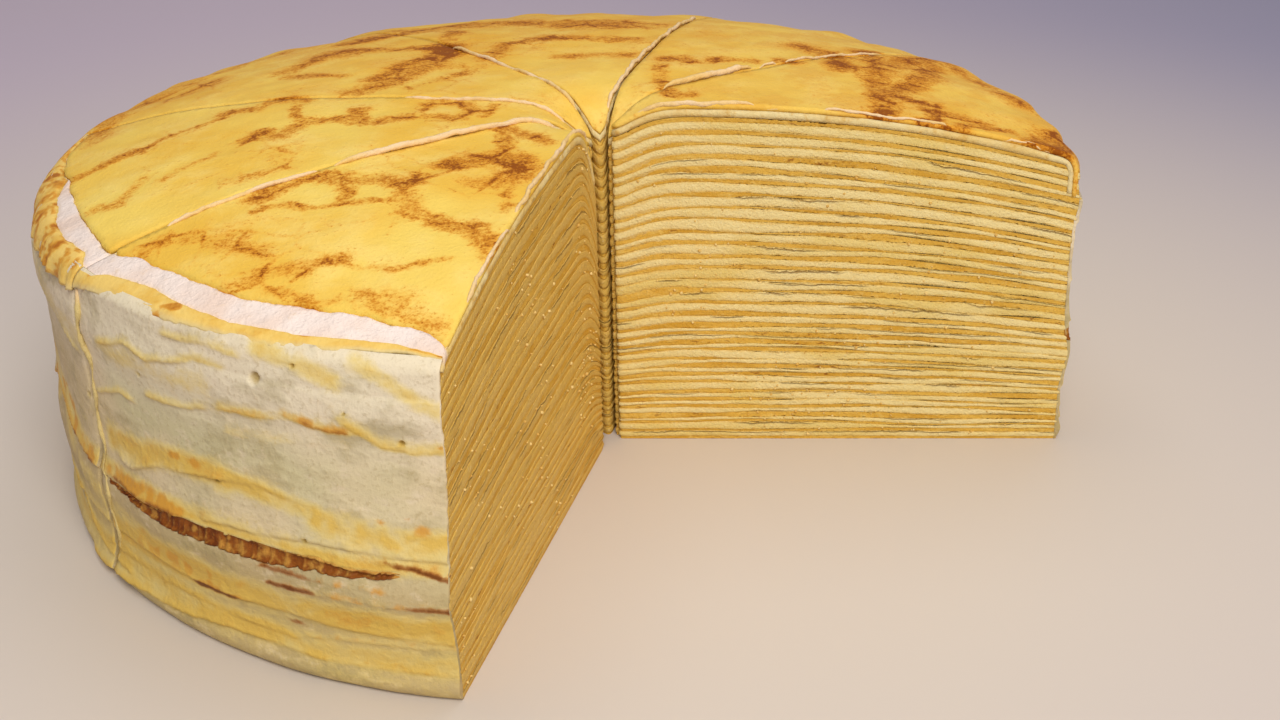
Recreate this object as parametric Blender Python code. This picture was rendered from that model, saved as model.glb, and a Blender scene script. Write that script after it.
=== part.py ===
"""Mille crepe cake: thin crepes stacked with whipped cream, cut in slices, with two slices' room taken out.

The six slices that are left keep the round shape of the cake. Every slice is four pieces:
  stack       the crepes with the cream between them, ridged layer by layer
  top_cream   the cream right under the last crepe, seen as a ring or pressed up along the cuts
  top_crepe   the browned last crepe, which ends short of the rim or folds over it
  side_cream  the cream coat spread round the wall
Lengths are in metres and azimuths in degrees. +X points to the right, +Y to the back and +Z up.
"""
import math

import bmesh
import bpy

# The whole cake: a drum with a domed top
RADIUS = 0.110
RIM_HEIGHT = 0.066
CENTRE_HEIGHT = 0.079
DOME_POWER = 3.0
KERF = 0.0010
GAP = 0.0003

# Every cut starts from a point a little off the cake's axis, and the layers sag at the slices' points
CUT_CENTRE = (0.0086, -0.0110)
SAG_SPREAD = 0.0085

# The layers in a stack, counted from the bottom: the lower ones are pressed thinner
STACK_CREPES = 32
PRESSED_CREPES = 14
PRESSED_PITCH = 0.72
RIDGE_DEPTH = 0.0004

# The last crepe and the cream under it
CREPE_THICKNESS = 0.0012
TOP_CREAM_THICKNESS = 0.0016

# Where the last crepe folds over the rim into a pleated skirt
SKIRT_DROP = 0.0085
SKIRT_FLARE = 0.0006
SHOULDER_WIDTH = 0.0030
SHOULDER_DROP = 0.0020
PLEAT_DEPTH = 0.0008
PLEATS_ROUND_THE_CAKE = 30

# Where the last crepe ends short of the rim, and leaves a ring of cream in sight
RING_WIDTH = 0.0090
RING_NARROWEST = 0.0034
RING_NARROWS = (200.0, 172.0)
RING_WAVE = 0.0008
WAVES_ROUND_THE_CAKE = 22
RING_SHOULDER = 0.0020
RING_EDGE = 0.0005
RING_DROP = 0.0028

# The cream coat, which swells where crepe hems sag out of the stack: height, depth and spread of each
COAT_THICKNESS = 0.0026
HEMS = ((0.0215, 0.0013, 0.0052), (0.0570, 0.0010, 0.0045))
UNEVENNESS = ((2, 0.0007), (5, 0.0004))
OPEN_CORNER_AZIMUTH = -105.0
OPEN_CORNER_HEIGHT = 0.0250
OPEN_CORNER_SWELL = 0.0022
OPEN_CORNER_SPREAD = (16.0, 0.0170)

# Slices in order round the cake: azimuths of their cuts, blunt point's distance, its sag, last crepe's end
SLICES = (
    ("slice_1", -5.0, 37.0, 0.0035, 0.0050, "folded"),
    ("slice_2", 37.0, 73.0, 0.0040, 0.0080, "folded"),
    ("slice_3", 73.0, 122.0, 0.0040, 0.0070, "folded"),
    ("slice_4", 122.0, 165.0, 0.0045, 0.0080, "folded"),
    ("slice_5", 165.0, 206.5, 0.0045, 0.0090, "short"),
    ("slice_6", 206.5, 253.0, 0.0055, 0.0200, "short"),
)
# How many times a circle's spot on a cut is sought again, each time closer
EDGE_TRIES = 12
NEAR_SHARE = 0.12
MIDDLE_SHARE = 0.60
STACK_ARC_STEP = 15.0
WALL_ROWS = 7


def bump(value, middle, spread):
    return math.exp(-(((value - middle) / spread) ** 2))


def wall_radius(azimuth, height):
    """Outer radius of the cream coat, uneven round the cake and swollen at its hems."""
    turn = math.radians(azimuth)
    radius = RADIUS + sum(depth * math.sin(waves * turn + waves) for waves, depth in UNEVENNESS)
    for middle, depth, spread in HEMS:
        radius += depth * bump(height, middle, spread)
    off_corner = (azimuth - OPEN_CORNER_AZIMUTH + 180.0) % 360.0 - 180.0
    swell = bump(off_corner, 0.0, OPEN_CORNER_SPREAD[0])
    swell *= bump(height, OPEN_CORNER_HEIGHT, OPEN_CORNER_SPREAD[1])
    return radius + OPEN_CORNER_SWELL * swell


def ring_width(azimuth):
    """Width of the cream ring left by the last crepe, which narrows towards the back."""
    wide, narrow = RING_NARROWS
    share = min(max(((azimuth % 360.0) - narrow) / (wide - narrow), 0.0), 1.0)
    wave = RING_WAVE * math.sin(math.radians(azimuth) * WAVES_ROUND_THE_CAKE)
    return RING_NARROWEST + (RING_WIDTH - RING_NARROWEST) * share + wave * share


def skirt_pleat(azimuth):
    return PLEAT_DEPTH * math.sin(math.radians(azimuth) * PLEATS_ROUND_THE_CAKE)


class Slice:
    """One slice's plan and its domed top, from which rows of points are read."""

    def __init__(self, cut_start, cut_end, point_distance, sag):
        self.cut_start = cut_start
        self.cut_end = cut_end
        self.point_distance = point_distance
        self.sag = sag
        self.stack_steps = max(2, round((cut_end - cut_start) / STACK_ARC_STEP))
        self.fine_steps = 2 * self.stack_steps

    def top_height(self, x, y):
        """Height of the top above a spot: the dome, less the sag at the slice's point."""
        outward = math.hypot(x, y) / RADIUS
        dome = CENTRE_HEIGHT - (CENTRE_HEIGHT - RIM_HEIGHT) * outward**DOME_POWER
        from_cuts = math.hypot(x - CUT_CENTRE[0], y - CUT_CENTRE[1])
        return dome - self.sag * bump(from_cuts, 0.0, SAG_SPREAD)

    def under_top(self, depth):
        """A height function that stays a set depth under the top."""
        return lambda x, y: self.top_height(x, y) - depth

    def spot(self, across, distance, inset=0.0):
        """Plan position at a distance from the cut centre, a share of the way across from cut to cut."""
        trim = math.degrees(math.asin((KERF / 2 + inset) / distance))
        azimuth = self.cut_start + trim + across * (self.cut_end - self.cut_start - 2 * trim)
        turn = math.radians(azimuth)
        return CUT_CENTRE[0] + distance * math.cos(turn), CUT_CENTRE[1] + distance * math.sin(turn)

    def circle_spot(self, across, radius, inset=0.0):
        """Plan position on a circle about the cake's axis; radius is a length or a function of azimuth."""
        distance = RADIUS
        for _ in range(EDGE_TRIES):
            x, y = self.spot(across, distance, inset)
            wanted = radius(math.degrees(math.atan2(y, x))) if callable(radius) else radius
            distance += wanted - math.hypot(x, y)
        return self.spot(across, distance, inset)

    def span(self, distance, depth, steps):
        """A row from cut to cut at a distance from the cut centre and a depth under the top."""
        plan = [self.spot(i / steps, distance) for i in range(steps + 1)]
        return [(x, y, self.top_height(x, y) - depth) for x, y in plan]

    def arc(self, radius, height, steps):
        """A row from cut to cut on a circle about the cake's axis."""
        plan = [self.circle_spot(i / steps, radius) for i in range(steps + 1)]
        return [(x, y, height(x, y) if callable(height) else height) for x, y in plan]

    def dome_rows(self, depth, steps, arcs):
        """The rows of a surface under the top: the point, two spans and any arcs near the rim."""
        rows = [self.span(self.point_distance, depth, 1)]
        rows.append(self.span(NEAR_SHARE * RADIUS, depth, steps))
        rows.append(self.span(MIDDLE_SHARE * RADIUS, depth, steps))
        return rows + [self.arc(radius, height, steps) for radius, height in arcs]


def add_rows(mesh, rows):
    """Faces between rows of points. The first row has two points, and fans out to the second."""
    points = [[mesh.verts.new(spot) for spot in row] for row in rows]
    first, second = points[0], points[1]
    half = len(second) // 2
    for i in range(len(second) - 1):
        mesh.faces.new((first[0] if i < half else first[1], second[i], second[i + 1]))
    mesh.faces.new((first[0], second[half], first[1]))
    for near, far in zip(points[1:], points[2:]):
        for i in range(len(near) - 1):
            mesh.faces.new((near[i], far[i], far[i + 1], near[i + 1]))
    return points


def outline_of(points):
    """The closed outline of a surface made of rows: out along one cut, round the arc and back."""
    out = [row[0] for row in points]
    back = [row[-1] for row in points][::-1]
    return out + points[-1][1:-1] + back


def join_outlines(mesh, lower, upper):
    """A band of faces between two outlines with the same number of points."""
    for i in range(len(lower)):
        j = (i + 1) % len(lower)
        mesh.faces.new((lower[i], lower[j], upper[j], upper[i]))


def finish_piece(mesh, name, material):
    """Turns a finished bmesh into an object with its faces pointing outwards."""
    bmesh.ops.recalc_face_normals(mesh, faces=mesh.faces[:])
    data = bpy.data.meshes.new(name)
    mesh.to_mesh(data)
    mesh.free()
    data.materials.append(material)
    piece = bpy.data.objects.new(name, data)
    bpy.context.scene.collection.objects.link(piece)


def layer_levels():
    """Height shares, from 0 to 1, of the middle of every layer, and whether it is a crepe."""
    sizes = []
    for number in range(STACK_CREPES):
        size = PRESSED_PITCH if number < PRESSED_CREPES else 1.0
        sizes += [(size, True), (size, False)]
    sizes.pop()
    whole = sum(size for size, _ in sizes)
    levels = []
    below = 0.0
    for size, is_crepe in sizes:
        levels.append(((below + size / 2) / whole, is_crepe))
        below += size
    return levels


def add_stack(name, plan, material):
    """The crepes and creams of one slice: cream ridges stand out of the faces between recessed crepes."""
    steps = plan.stack_steps
    depth = CREPE_THICKNESS + TOP_CREAM_THICKNESS + 2 * GAP
    outer = RADIUS - COAT_THICKNESS - GAP
    distances = (plan.point_distance, NEAR_SHARE * RADIUS, MIDDLE_SHARE * RADIUS)

    def outline(share, inset):
        spots = [plan.spot(0.0, distance + inset, inset) for distance in distances]
        spots += [plan.circle_spot(i / steps, outer - inset, inset) for i in range(steps + 1)]
        spots += [plan.spot(1.0, distance + inset, inset) for distance in distances[::-1]]
        return [(x, y, share * (plan.top_height(x, y) - depth)) for x, y in spots]

    mesh = bmesh.new()
    below = [mesh.verts.new(spot) for spot in outline(0.0, 0.0)]
    mesh.faces.new(below)
    for share, is_crepe in layer_levels():
        ring = [mesh.verts.new(spot) for spot in outline(share, RIDGE_DEPTH if is_crepe else 0.0)]
        join_outlines(mesh, below, ring)
        below = ring
    top = add_rows(mesh, plan.dome_rows(depth, steps, [(outer, plan.under_top(depth))]))
    join_outlines(mesh, below, outline_of(top))
    finish_piece(mesh, name, material)


def add_sheet(name, upper_rows, lower_rows, material):
    """A closed sheet between an upper and a lower surface."""
    mesh = bmesh.new()
    upper = add_rows(mesh, upper_rows)
    lower = add_rows(mesh, lower_rows)
    join_outlines(mesh, outline_of(lower), outline_of(upper))
    finish_piece(mesh, name, material)


def add_folded_top(name, plan, cream, crepe):
    """The last crepe folded over the rim, with the cream inside its fold."""
    steps = plan.fine_steps
    cream_top = CREPE_THICKNESS + GAP
    cream_bottom = cream_top + TOP_CREAM_THICKNESS
    shoulder = RADIUS - SHOULDER_WIDTH
    stack_side = RADIUS - COAT_THICKNESS
    hem_height = RIM_HEIGHT - SKIRT_DROP

    def skirt(offset):
        return lambda azimuth: RADIUS + SKIRT_FLARE + offset + skirt_pleat(azimuth)

    crepe_upper = [
        (shoulder, plan.under_top(0.0)),
        (RADIUS, RIM_HEIGHT - SHOULDER_DROP),
        (skirt(0.0), hem_height),
    ]
    crepe_lower = [
        (shoulder - GAP, plan.under_top(CREPE_THICKNESS)),
        (RADIUS - CREPE_THICKNESS, RIM_HEIGHT - SHOULDER_DROP - GAP),
        (skirt(-CREPE_THICKNESS), hem_height),
    ]
    cream_upper = [
        (shoulder - 2 * GAP, plan.under_top(cream_top)),
        (RADIUS - cream_top, RIM_HEIGHT - SHOULDER_DROP - 3 * GAP),
        (RADIUS - cream_top - PLEAT_DEPTH / 2, hem_height),
    ]
    cream_lower = [
        (stack_side, plan.under_top(cream_bottom)),
        (stack_side, RIM_HEIGHT - SKIRT_DROP / 2),
        (stack_side, hem_height),
    ]
    add_sheet(
        f"{name}_top_crepe",
        plan.dome_rows(0.0, steps, crepe_upper),
        plan.dome_rows(CREPE_THICKNESS, steps, crepe_lower),
        crepe,
    )
    add_sheet(
        f"{name}_top_cream",
        plan.dome_rows(cream_top, steps, cream_upper),
        plan.dome_rows(cream_bottom, steps, cream_lower),
        cream,
    )
    return hem_height - GAP


def add_short_top(name, plan, cream, crepe):
    """The last crepe ending short of the rim, with the cream's ring in sight round it."""
    steps = plan.fine_steps
    cream_top = CREPE_THICKNESS + GAP
    cream_bottom = cream_top + TOP_CREAM_THICKNESS
    ring_top = CREPE_THICKNESS / 3
    ring_bottom = RIM_HEIGHT - RING_DROP

    def crepe_edge(offset):
        return lambda azimuth: RADIUS - ring_width(azimuth) + offset

    cream_upper = [
        (crepe_edge(GAP), plan.under_top(cream_top)),
        (crepe_edge(2 * GAP), plan.under_top(ring_top)),
        (RADIUS - RING_SHOULDER, plan.under_top(ring_top)),
        (RADIUS - RING_EDGE, ring_bottom),
    ]
    cream_lower = [
        (crepe_edge(GAP), plan.under_top(cream_bottom)),
        (crepe_edge(2 * GAP), plan.under_top(cream_bottom)),
        (RADIUS - COAT_THICKNESS, plan.under_top(cream_bottom)),
        (RADIUS - COAT_THICKNESS / 2, ring_bottom),
    ]
    add_sheet(
        f"{name}_top_crepe",
        plan.dome_rows(0.0, steps, [(crepe_edge(0.0), plan.under_top(0.0))]),
        plan.dome_rows(CREPE_THICKNESS, steps, [(crepe_edge(0.0), plan.under_top(CREPE_THICKNESS))]),
        crepe,
    )
    add_sheet(
        f"{name}_top_cream",
        plan.dome_rows(cream_top, steps, cream_upper),
        plan.dome_rows(cream_bottom, steps, cream_lower),
        cream,
    )
    return ring_bottom - GAP


def add_side_cream(name, plan, top, material):
    """The cream coat on the wall of one slice. Its inner side follows the flats of the stack's arc."""
    steps = plan.fine_steps
    mesh = bmesh.new()
    inner = []
    for level in (0.0, top):
        flats = plan.arc(RADIUS - COAT_THICKNESS, level, plan.stack_steps)
        row = [flats[0]]
        for near, far in zip(flats, flats[1:]):
            row.append(tuple((a + b) / 2 for a, b in zip(near, far)))
            row.append(far)
        inner.append([mesh.verts.new(spot) for spot in row])
    outer = []
    for number in range(WALL_ROWS + 1):
        level = top * number / WALL_ROWS
        coat = plan.arc(lambda azimuth, level=level: wall_radius(azimuth, level), level, steps)
        outer.append([mesh.verts.new(spot) for spot in coat])
    shell = [inner[0]] + outer + [inner[1]]
    for near, far in zip(shell, shell[1:] + shell[:1]):
        for i in range(steps):
            mesh.faces.new((near[i], near[i + 1], far[i + 1], far[i]))
    for end in (0, -1):
        mesh.faces.new([row[end] for row in shell])
    finish_piece(mesh, name, material)


def food_material(name, colour, roughness):
    """A plain surface with the food's own colour."""
    material = bpy.data.materials.new(name)
    material.use_nodes = True
    shader = material.node_tree.nodes["Principled BSDF"]
    shader.inputs["Base Color"].default_value = (*colour, 1.0)
    shader.inputs["Roughness"].default_value = roughness
    shader.inputs["Metallic"].default_value = 0.0
    return material


def stand_on_origin(pieces):
    """Moves every mesh so that the middle of the whole cake's underside is the origin."""
    spots = [vertex.co for piece in pieces for vertex in piece.data.vertices]
    low = [min(spot[axis] for spot in spots) for axis in range(3)]
    high = [max(spot[axis] for spot in spots) for axis in range(3)]
    shift = ((low[0] + high[0]) / 2, (low[1] + high[1]) / 2, low[2])
    for piece in pieces:
        for vertex in piece.data.vertices:
            vertex.co = [vertex.co[axis] - shift[axis] for axis in range(3)]


def build():
    for old in list(bpy.data.objects):
        bpy.data.objects.remove(old, do_unlink=True)
    layers = food_material("crepe_layers", (0.72, 0.52, 0.20), 0.6)
    browned = food_material("browned_crepe", (0.82, 0.55, 0.13), 0.5)
    top_cream = food_material("top_cream", (0.84, 0.74, 0.66), 0.45)
    side_cream = food_material("side_cream", (0.72, 0.62, 0.42), 0.5)
    for name, cut_start, cut_end, point_distance, sag, crepe_end in SLICES:
        plan = Slice(cut_start, cut_end, point_distance, sag)
        add_stack(f"{name}_stack", plan, layers)
        add_top = add_folded_top if crepe_end == "folded" else add_short_top
        coat_top = add_top(name, plan, top_cream, browned)
        add_side_cream(f"{name}_side_cream", plan, coat_top, side_cream)
    stand_on_origin(list(bpy.context.scene.collection.objects))


build()
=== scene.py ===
"""A mille crepe cake: the looks of its layers, top, cream coat and cut faces."""

import math

import bpy
import numpy as np
from mathutils import Matrix, Vector, geometry, noise


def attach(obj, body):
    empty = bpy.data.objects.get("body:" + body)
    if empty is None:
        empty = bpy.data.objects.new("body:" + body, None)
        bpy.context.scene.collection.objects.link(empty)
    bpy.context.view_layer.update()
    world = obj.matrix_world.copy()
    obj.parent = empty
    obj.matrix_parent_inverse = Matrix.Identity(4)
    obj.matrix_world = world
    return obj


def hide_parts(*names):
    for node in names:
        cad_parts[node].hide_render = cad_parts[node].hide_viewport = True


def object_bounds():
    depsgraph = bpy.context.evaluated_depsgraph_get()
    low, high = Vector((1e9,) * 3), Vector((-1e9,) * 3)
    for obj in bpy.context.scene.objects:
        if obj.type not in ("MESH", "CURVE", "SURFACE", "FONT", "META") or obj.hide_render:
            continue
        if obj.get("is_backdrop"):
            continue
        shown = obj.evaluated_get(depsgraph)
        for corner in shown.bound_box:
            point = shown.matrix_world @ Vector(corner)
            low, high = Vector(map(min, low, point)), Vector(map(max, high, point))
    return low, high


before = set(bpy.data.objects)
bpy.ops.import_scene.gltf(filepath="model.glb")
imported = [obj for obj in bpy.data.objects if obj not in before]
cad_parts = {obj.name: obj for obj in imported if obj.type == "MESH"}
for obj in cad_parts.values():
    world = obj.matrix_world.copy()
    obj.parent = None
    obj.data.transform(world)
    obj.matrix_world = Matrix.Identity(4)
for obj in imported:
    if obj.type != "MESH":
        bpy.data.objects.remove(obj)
cad_box = [list(corner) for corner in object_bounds()]

# ---------------------------------------------------------------------------------------------
# The view: a normal lens looks down on the cake from in front, over the room left by two slices.
# ---------------------------------------------------------------------------------------------
CAMERA_PLACE = Vector((0.0002, -0.3748, 0.1932))
CAMERA_TURN = math.radians(2.466)
CAMERA_DIP = math.radians(25.488)
CAMERA_ROLL = math.radians(-1.218)
CAMERA_LENS = 50.91

camera_data = bpy.data.cameras.new("camera")
camera_data.lens = CAMERA_LENS
camera_data.clip_start = 0.01
camera = bpy.data.objects.new("camera", camera_data)
bpy.context.scene.collection.objects.link(camera)
aim = Matrix.Rotation(-CAMERA_TURN, 4, "Z") @ Matrix.Rotation(math.pi / 2 - CAMERA_DIP, 4, "X")
camera.matrix_world = Matrix.Translation(CAMERA_PLACE) @ aim @ Matrix.Rotation(CAMERA_ROLL, 4, "Z")
bpy.context.scene.camera = camera
bpy.context.scene.view_settings.view_transform = "Standard"


# ---------------------------------------------------------------------------------------------
# The table top: a plain pale board under the cake that turns cooler away from it, and is painted
# darker there as painted shade, most of all to the far right. It stands in soft light from the
# front and from overhead, with a little warm light thrown back from the right.
# ---------------------------------------------------------------------------------------------
FLOOR_SIZE = 6.0
FLOOR_NEAR = (214, 203, 190)
FLOOR_FAR_LEFT = (198, 184, 198)
# Painted shade: the far right of the board is painted much darker than the far left.
FLOOR_FAR_RIGHT_IN_SHADE = (142, 142, 168)
FLOOR_AWAY = (0.10, 0.42)
FLOOR_ACROSS = (-0.15, 0.45)
KEY_PLACE = Vector((0.11, -0.85, 0.85))
KEY_SIZE = 0.60
KEY_POWER = 10.1
TOP_PLACE = Vector((0.05, 0.30, 1.05))
TOP_SIZE = 0.90
TOP_POWER = 3.5
BOUNCE_PLACE = Vector((0.60, -0.32, 0.30))
BOUNCE_SIZE = 0.60
BOUNCE_POWER = 0.55
BOUNCE_COLOUR = (255, 200, 100)
ROOM_COLOUR = (214, 204, 206)
ROOM_STRENGTH = 0.37


def paint(red, green, blue):
    """A linear colour with full alpha from the 0 to 255 values of a colour chart."""
    parts = [value / 255 for value in (red, green, blue)]
    linear = [part / 12.92 if part <= 0.04045 else ((part + 0.055) / 1.055) ** 2.4 for part in parts]
    return (*linear, 1.0)


class Wire:
    """One output of a node. Arithmetic on it adds Math nodes to its recipe."""

    def __init__(self, recipe, socket):
        self.recipe = recipe
        self.socket = socket

    def math(self, operation, *others):
        """A Math node on this value and others."""
        return self.recipe.node("ShaderNodeMath", {"operation": operation}, enumerate((self, *others)))

    def __add__(self, other):
        return self.math("ADD", other)

    __radd__ = __add__

    def __sub__(self, other):
        return self.math("SUBTRACT", other)

    def __rsub__(self, other):
        return self.math("MULTIPLY_ADD", -1.0, other)

    def __mul__(self, other):
        return self.math("MULTIPLY", other)

    __rmul__ = __mul__

    def __truediv__(self, other):
        return self.math("DIVIDE", other)

    def __pow__(self, other):
        return self.math("POWER", other)

    def low(self, other):
        """The lower of two values."""
        return self.math("MINIMUM", other)

    def high(self, other):
        """The higher of two values."""
        return self.math("MAXIMUM", other)

    def ramp(self, start, end, first=0.0, last=1.0):
        """A smooth step from first to last while this value goes from start to end."""
        values = {0: self, 1: start, 2: end, 3: first, 4: last}
        return self.recipe.node("ShaderNodeMapRange", {"interpolation_type": "SMOOTHSTEP"}, values)


class Recipe:
    """A node tree being written."""

    def __init__(self, tree):
        self.tree = tree

    def node(self, kind, settings=None, inputs=(), output=0):
        """A node of that type: its settings first, then the values or links of its sockets."""
        made = self.tree.nodes.new(kind)
        for name, value in (settings or {}).items():
            setattr(made, name, value)
        for key, value in dict(inputs).items():
            if isinstance(value, Wire):
                self.tree.links.new(value.socket, made.inputs[key])
            else:
                made.inputs[key].default_value = value
        return Wire(self, made.outputs[output])

    def noise(self, place, scale, detail=2.0, roughness=0.5, w=None, output=0):
        """Soft noise from 0 to 1 over a place, and along a fourth way if w is given."""
        inputs = {"Vector": place, "Scale": scale, "Detail": detail, "Roughness": roughness}
        if w is not None:
            inputs["W"] = w
        settings = {"noise_dimensions": "3D" if w is None else "4D"}
        return self.node("ShaderNodeTexNoise", settings, inputs, output)

    def vector(self, operation, **inputs):
        """Arithmetic on whole places and pushes: a, b and, where it is scaled, by how much."""
        keys = {"a": 0, "b": 1, "by": "Scale"}
        sockets = {keys[name]: value for name, value in inputs.items()}
        return self.node("ShaderNodeVectorMath", {"operation": operation}, sockets)

    def shift(self, place, scale, detail, w=None):
        """A soft push in every direction, up to about a half either way."""
        push = self.noise(place, scale, detail, w=w, output=1)
        return self.vector("SUBTRACT", a=push, b=(0.5, 0.5, 0.5))

    def part(self, place, axis):
        """One measure of a place: 0 east, 1 north or 2 up."""
        return self.node("ShaderNodeSeparateXYZ", inputs={0: place}, output=axis)

    def join(self, east, north, up=0.0):
        """A place from its three measures."""
        return self.node("ShaderNodeCombineXYZ", inputs={0: east, 1: north, 2: up})

    def blend(self, share, colour, other):
        """A colour that goes from one to another with a share from 0 to 1."""
        inputs = {0: share, 6: colour, 7: other}
        return self.node("ShaderNodeMix", {"data_type": "RGBA"}, inputs, 2)

    def mottled(self, value, start, end, *colours):
        """Two colours, the second of them where a value has gone from the start to the end."""
        return self.blend(value.ramp(start, end), *(paint(*colour) for colour in colours))

    def coats(self, colour, *coats):
        """A colour under others: what brings each of them on, from where to where, and its share."""
        for value, start, end, share, other in coats:
            colour = self.blend(value.ramp(start, end) * share, colour, paint(*other))
        return colour

    def place(self, stretch=(1.0, 1.0, 1.0)):
        """The spot on the piece, stretched where a pattern is drawn out."""
        spot = self.node("ShaderNodeTexCoord", output="Object")
        return self.node("ShaderNodeMapping", inputs={"Vector": spot, "Scale": stretch})

    def value(self, name):
        """What the piece's mesh holds under a name."""
        return self.node("ShaderNodeAttribute", {"attribute_name": name}, output="Fac")


def food(name, **constants):
    """A new food material, its recipe and the recipe's shader node."""
    material = bpy.data.materials.new(name)
    material.use_nodes = True
    shader = material.node_tree.nodes["Principled BSDF"]
    for socket, value in constants.items():
        shader.inputs[socket.replace("_", " ")].default_value = value
    return material, Recipe(material.node_tree), shader


def feed(recipe, shader, colour, height=None, depth=0.0):
    """Links what changes over the surface into the shader: its colour and its fine relief."""
    recipe.tree.links.new(colour.socket, shader.inputs["Base Color"])
    if height is not None:
        inputs = {"Strength": 1.0, "Distance": depth, "Height": height}
        bump = recipe.node("ShaderNodeBump", inputs=inputs)
        recipe.tree.links.new(bump.socket, shader.inputs["Normal"])


def piece_from(name, spots, faces, materials, values=None, edges=()):
    """A smooth piece from its corner spots, faces and loose edges, with what its materials read."""
    data = bpy.data.meshes.new(name)
    data.from_pydata(spots, edges, faces)
    for material in materials:
        data.materials.append(material)
    for key, numbers in (values or {}).items():
        kind = "FLOAT_VECTOR" if np.ndim(numbers) == 2 else "FLOAT"
        field = "vector" if np.ndim(numbers) == 2 else "value"
        layer = data.attributes.new(key, kind, "POINT")
        layer.data.foreach_set(field, np.asarray(numbers, np.float32).ravel())
    data.shade_smooth()
    made = bpy.data.objects.new(name, data)
    bpy.context.scene.collection.objects.link(made)
    return made


def soft_lamp(name, spot, size, power):
    """A square lamp that faces the cake."""
    data = bpy.data.lights.new(name, "AREA")
    data.size = size
    data.energy = power
    lamp = bpy.data.objects.new(name, data)
    lamp.location = spot
    lamp.rotation_euler = spot.to_track_quat("Z", "Y").to_euler()
    bpy.context.scene.collection.objects.link(lamp)
    return lamp


half = FLOOR_SIZE / 2
floor_material, recipe, shader = food("table_top", Roughness=0.6)
spot = recipe.place()
away = recipe.node("ShaderNodeVectorMath", {"operation": "LENGTH"}, {0: spot}, "Value")
# Painted shade: the board is painted darker far from the cake, most of all to the right.
far_colour_and_shade = recipe.mottled(recipe.part(spot, 0), *FLOOR_ACROSS, FLOOR_FAR_LEFT, FLOOR_FAR_RIGHT_IN_SHADE)
feed(recipe, shader, recipe.blend(away.ramp(*FLOOR_AWAY), paint(*FLOOR_NEAR), far_colour_and_shade))
corners = [(-half, -half, 0.0), (half, -half, 0.0), (half, half, 0.0), (-half, half, 0.0)]
floor = piece_from("floor", corners, [(0, 1, 2, 3)], [floor_material])
floor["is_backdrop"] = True

soft_lamp("key_lamp", KEY_PLACE, KEY_SIZE, KEY_POWER)
soft_lamp("top_lamp", TOP_PLACE, TOP_SIZE, TOP_POWER)
bounce_lamp = soft_lamp("bounce_lamp", BOUNCE_PLACE, BOUNCE_SIZE, BOUNCE_POWER)
bounce_lamp.data.color = paint(*BOUNCE_COLOUR)[:3]
room = bpy.data.worlds.new("room")
room.use_nodes = True
room.node_tree.nodes["Background"].inputs["Color"].default_value = paint(*ROOM_COLOUR)
room.node_tree.nodes["Background"].inputs["Strength"].default_value = ROOM_STRENGTH
bpy.context.scene.world = room


# ---------------------------------------------------------------------------------------------
# The stacked crepes and the cream between them. The real thing is some thirty thin pan-fried
# crepes with whipped cream spread on each, cut through with a knife that drags the soft cream
# out into rough ridges and leaves the crepes' edges a little behind them.
# ---------------------------------------------------------------------------------------------
RADIUS = 0.110
RIM_HEIGHT = 0.066
CENTRE_HEIGHT = 0.079
DOME_POWER = 3.0
KERF = 0.0010
AXIS = np.array((0.00024, -0.00030))
CUT_CENTRE = AXIS + np.array((0.0086, -0.0110))
SAG_SPREAD = 0.0085
COAT_SKIN = 0.0016
TOUCH = 0.0001
CREPE_THICKNESS = 0.0009
TOP_CREAM_THICKNESS = 0.0016
STACK_DEPTH = CREPE_THICKNESS + TOP_CREAM_THICKNESS + 2 * TOUCH
# How the wall swells: all round in waves, in hems at some heights, and at its open front corner
UNEVENNESS = ((2, 0.0007), (5, 0.0004))
HEMS = ((0.0215, 0.0013, 0.0052), (0.0570, 0.0010, 0.0045))
OPEN_CORNER = (math.radians(255.0), 0.0250, 0.0022)
OPEN_CORNER_SPREAD = (math.radians(16.0), 0.0170)
SKIN_AT_OPEN_CUT = 0.0006
STACK_CREPES = 32
PRESSED_CREPES = 14
PRESSED_PITCH = 0.72
CREPE_SHARE = 0.34
FINE_STEP = 0.00045
HIDDEN_STEP = 0.0020
ARC_STEP = 0.0060
FINE_REACH = 0.014
TIP_STEPS = 4
TIP_PULL = 0.7
NEAR_WALL = (0.088, 0.108)
# How the layers wave: scale, change from one layer to the next, and depth
WAVES = ((28.0, 0.13, 0.0030), (95.0, 0.55, 0.0009), (420.0, 3.7, 0.0004))
# How far apart the layers stand in what draws their patterns, and how tall one is in its ridges
PATTERN_PITCH = 0.0036
RIDGE_PITCH = 0.0012
CREPE_ROWS = (0.0, 0.22, 0.78, 1.0)
CREAM_ROWS = (0.0, 0.10, 0.28, 0.50, 0.72, 0.90, 1.0)


def toward(azimuth):
    """The level direction at an azimuth in degrees."""
    turn = math.radians(azimuth)
    return np.array((math.cos(turn), math.sin(turn)))


def smooth(low, high, value):
    """A smooth step from 0 at low to 1 at high."""
    share = np.clip((value - low) / (high - low), 0.0, 1.0)
    return share * share * (3.0 - 2.0 * share)


def bell(value, reach):
    """1 where a value is 0, falling off over the reach."""
    return np.exp(-((value / reach) ** 2))


def half_turn(angle):
    """An angle in radians turned back to within half a turn of 0."""
    return (angle + math.pi) % (2 * math.pi) - math.pi


def azimuth(off):
    """The azimuth in radians of each flat spot about the axis it is measured from."""
    return np.arctan2(off[:, 1], off[:, 0])


def ways_at(turn):
    """The level direction at each azimuth in radians."""
    return np.column_stack((np.cos(turn), np.sin(turn)))


def lifted(flat, height=0.0):
    """Flat spots or directions, all at one height."""
    return np.column_stack((flat, np.full(len(flat), height)))


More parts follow.
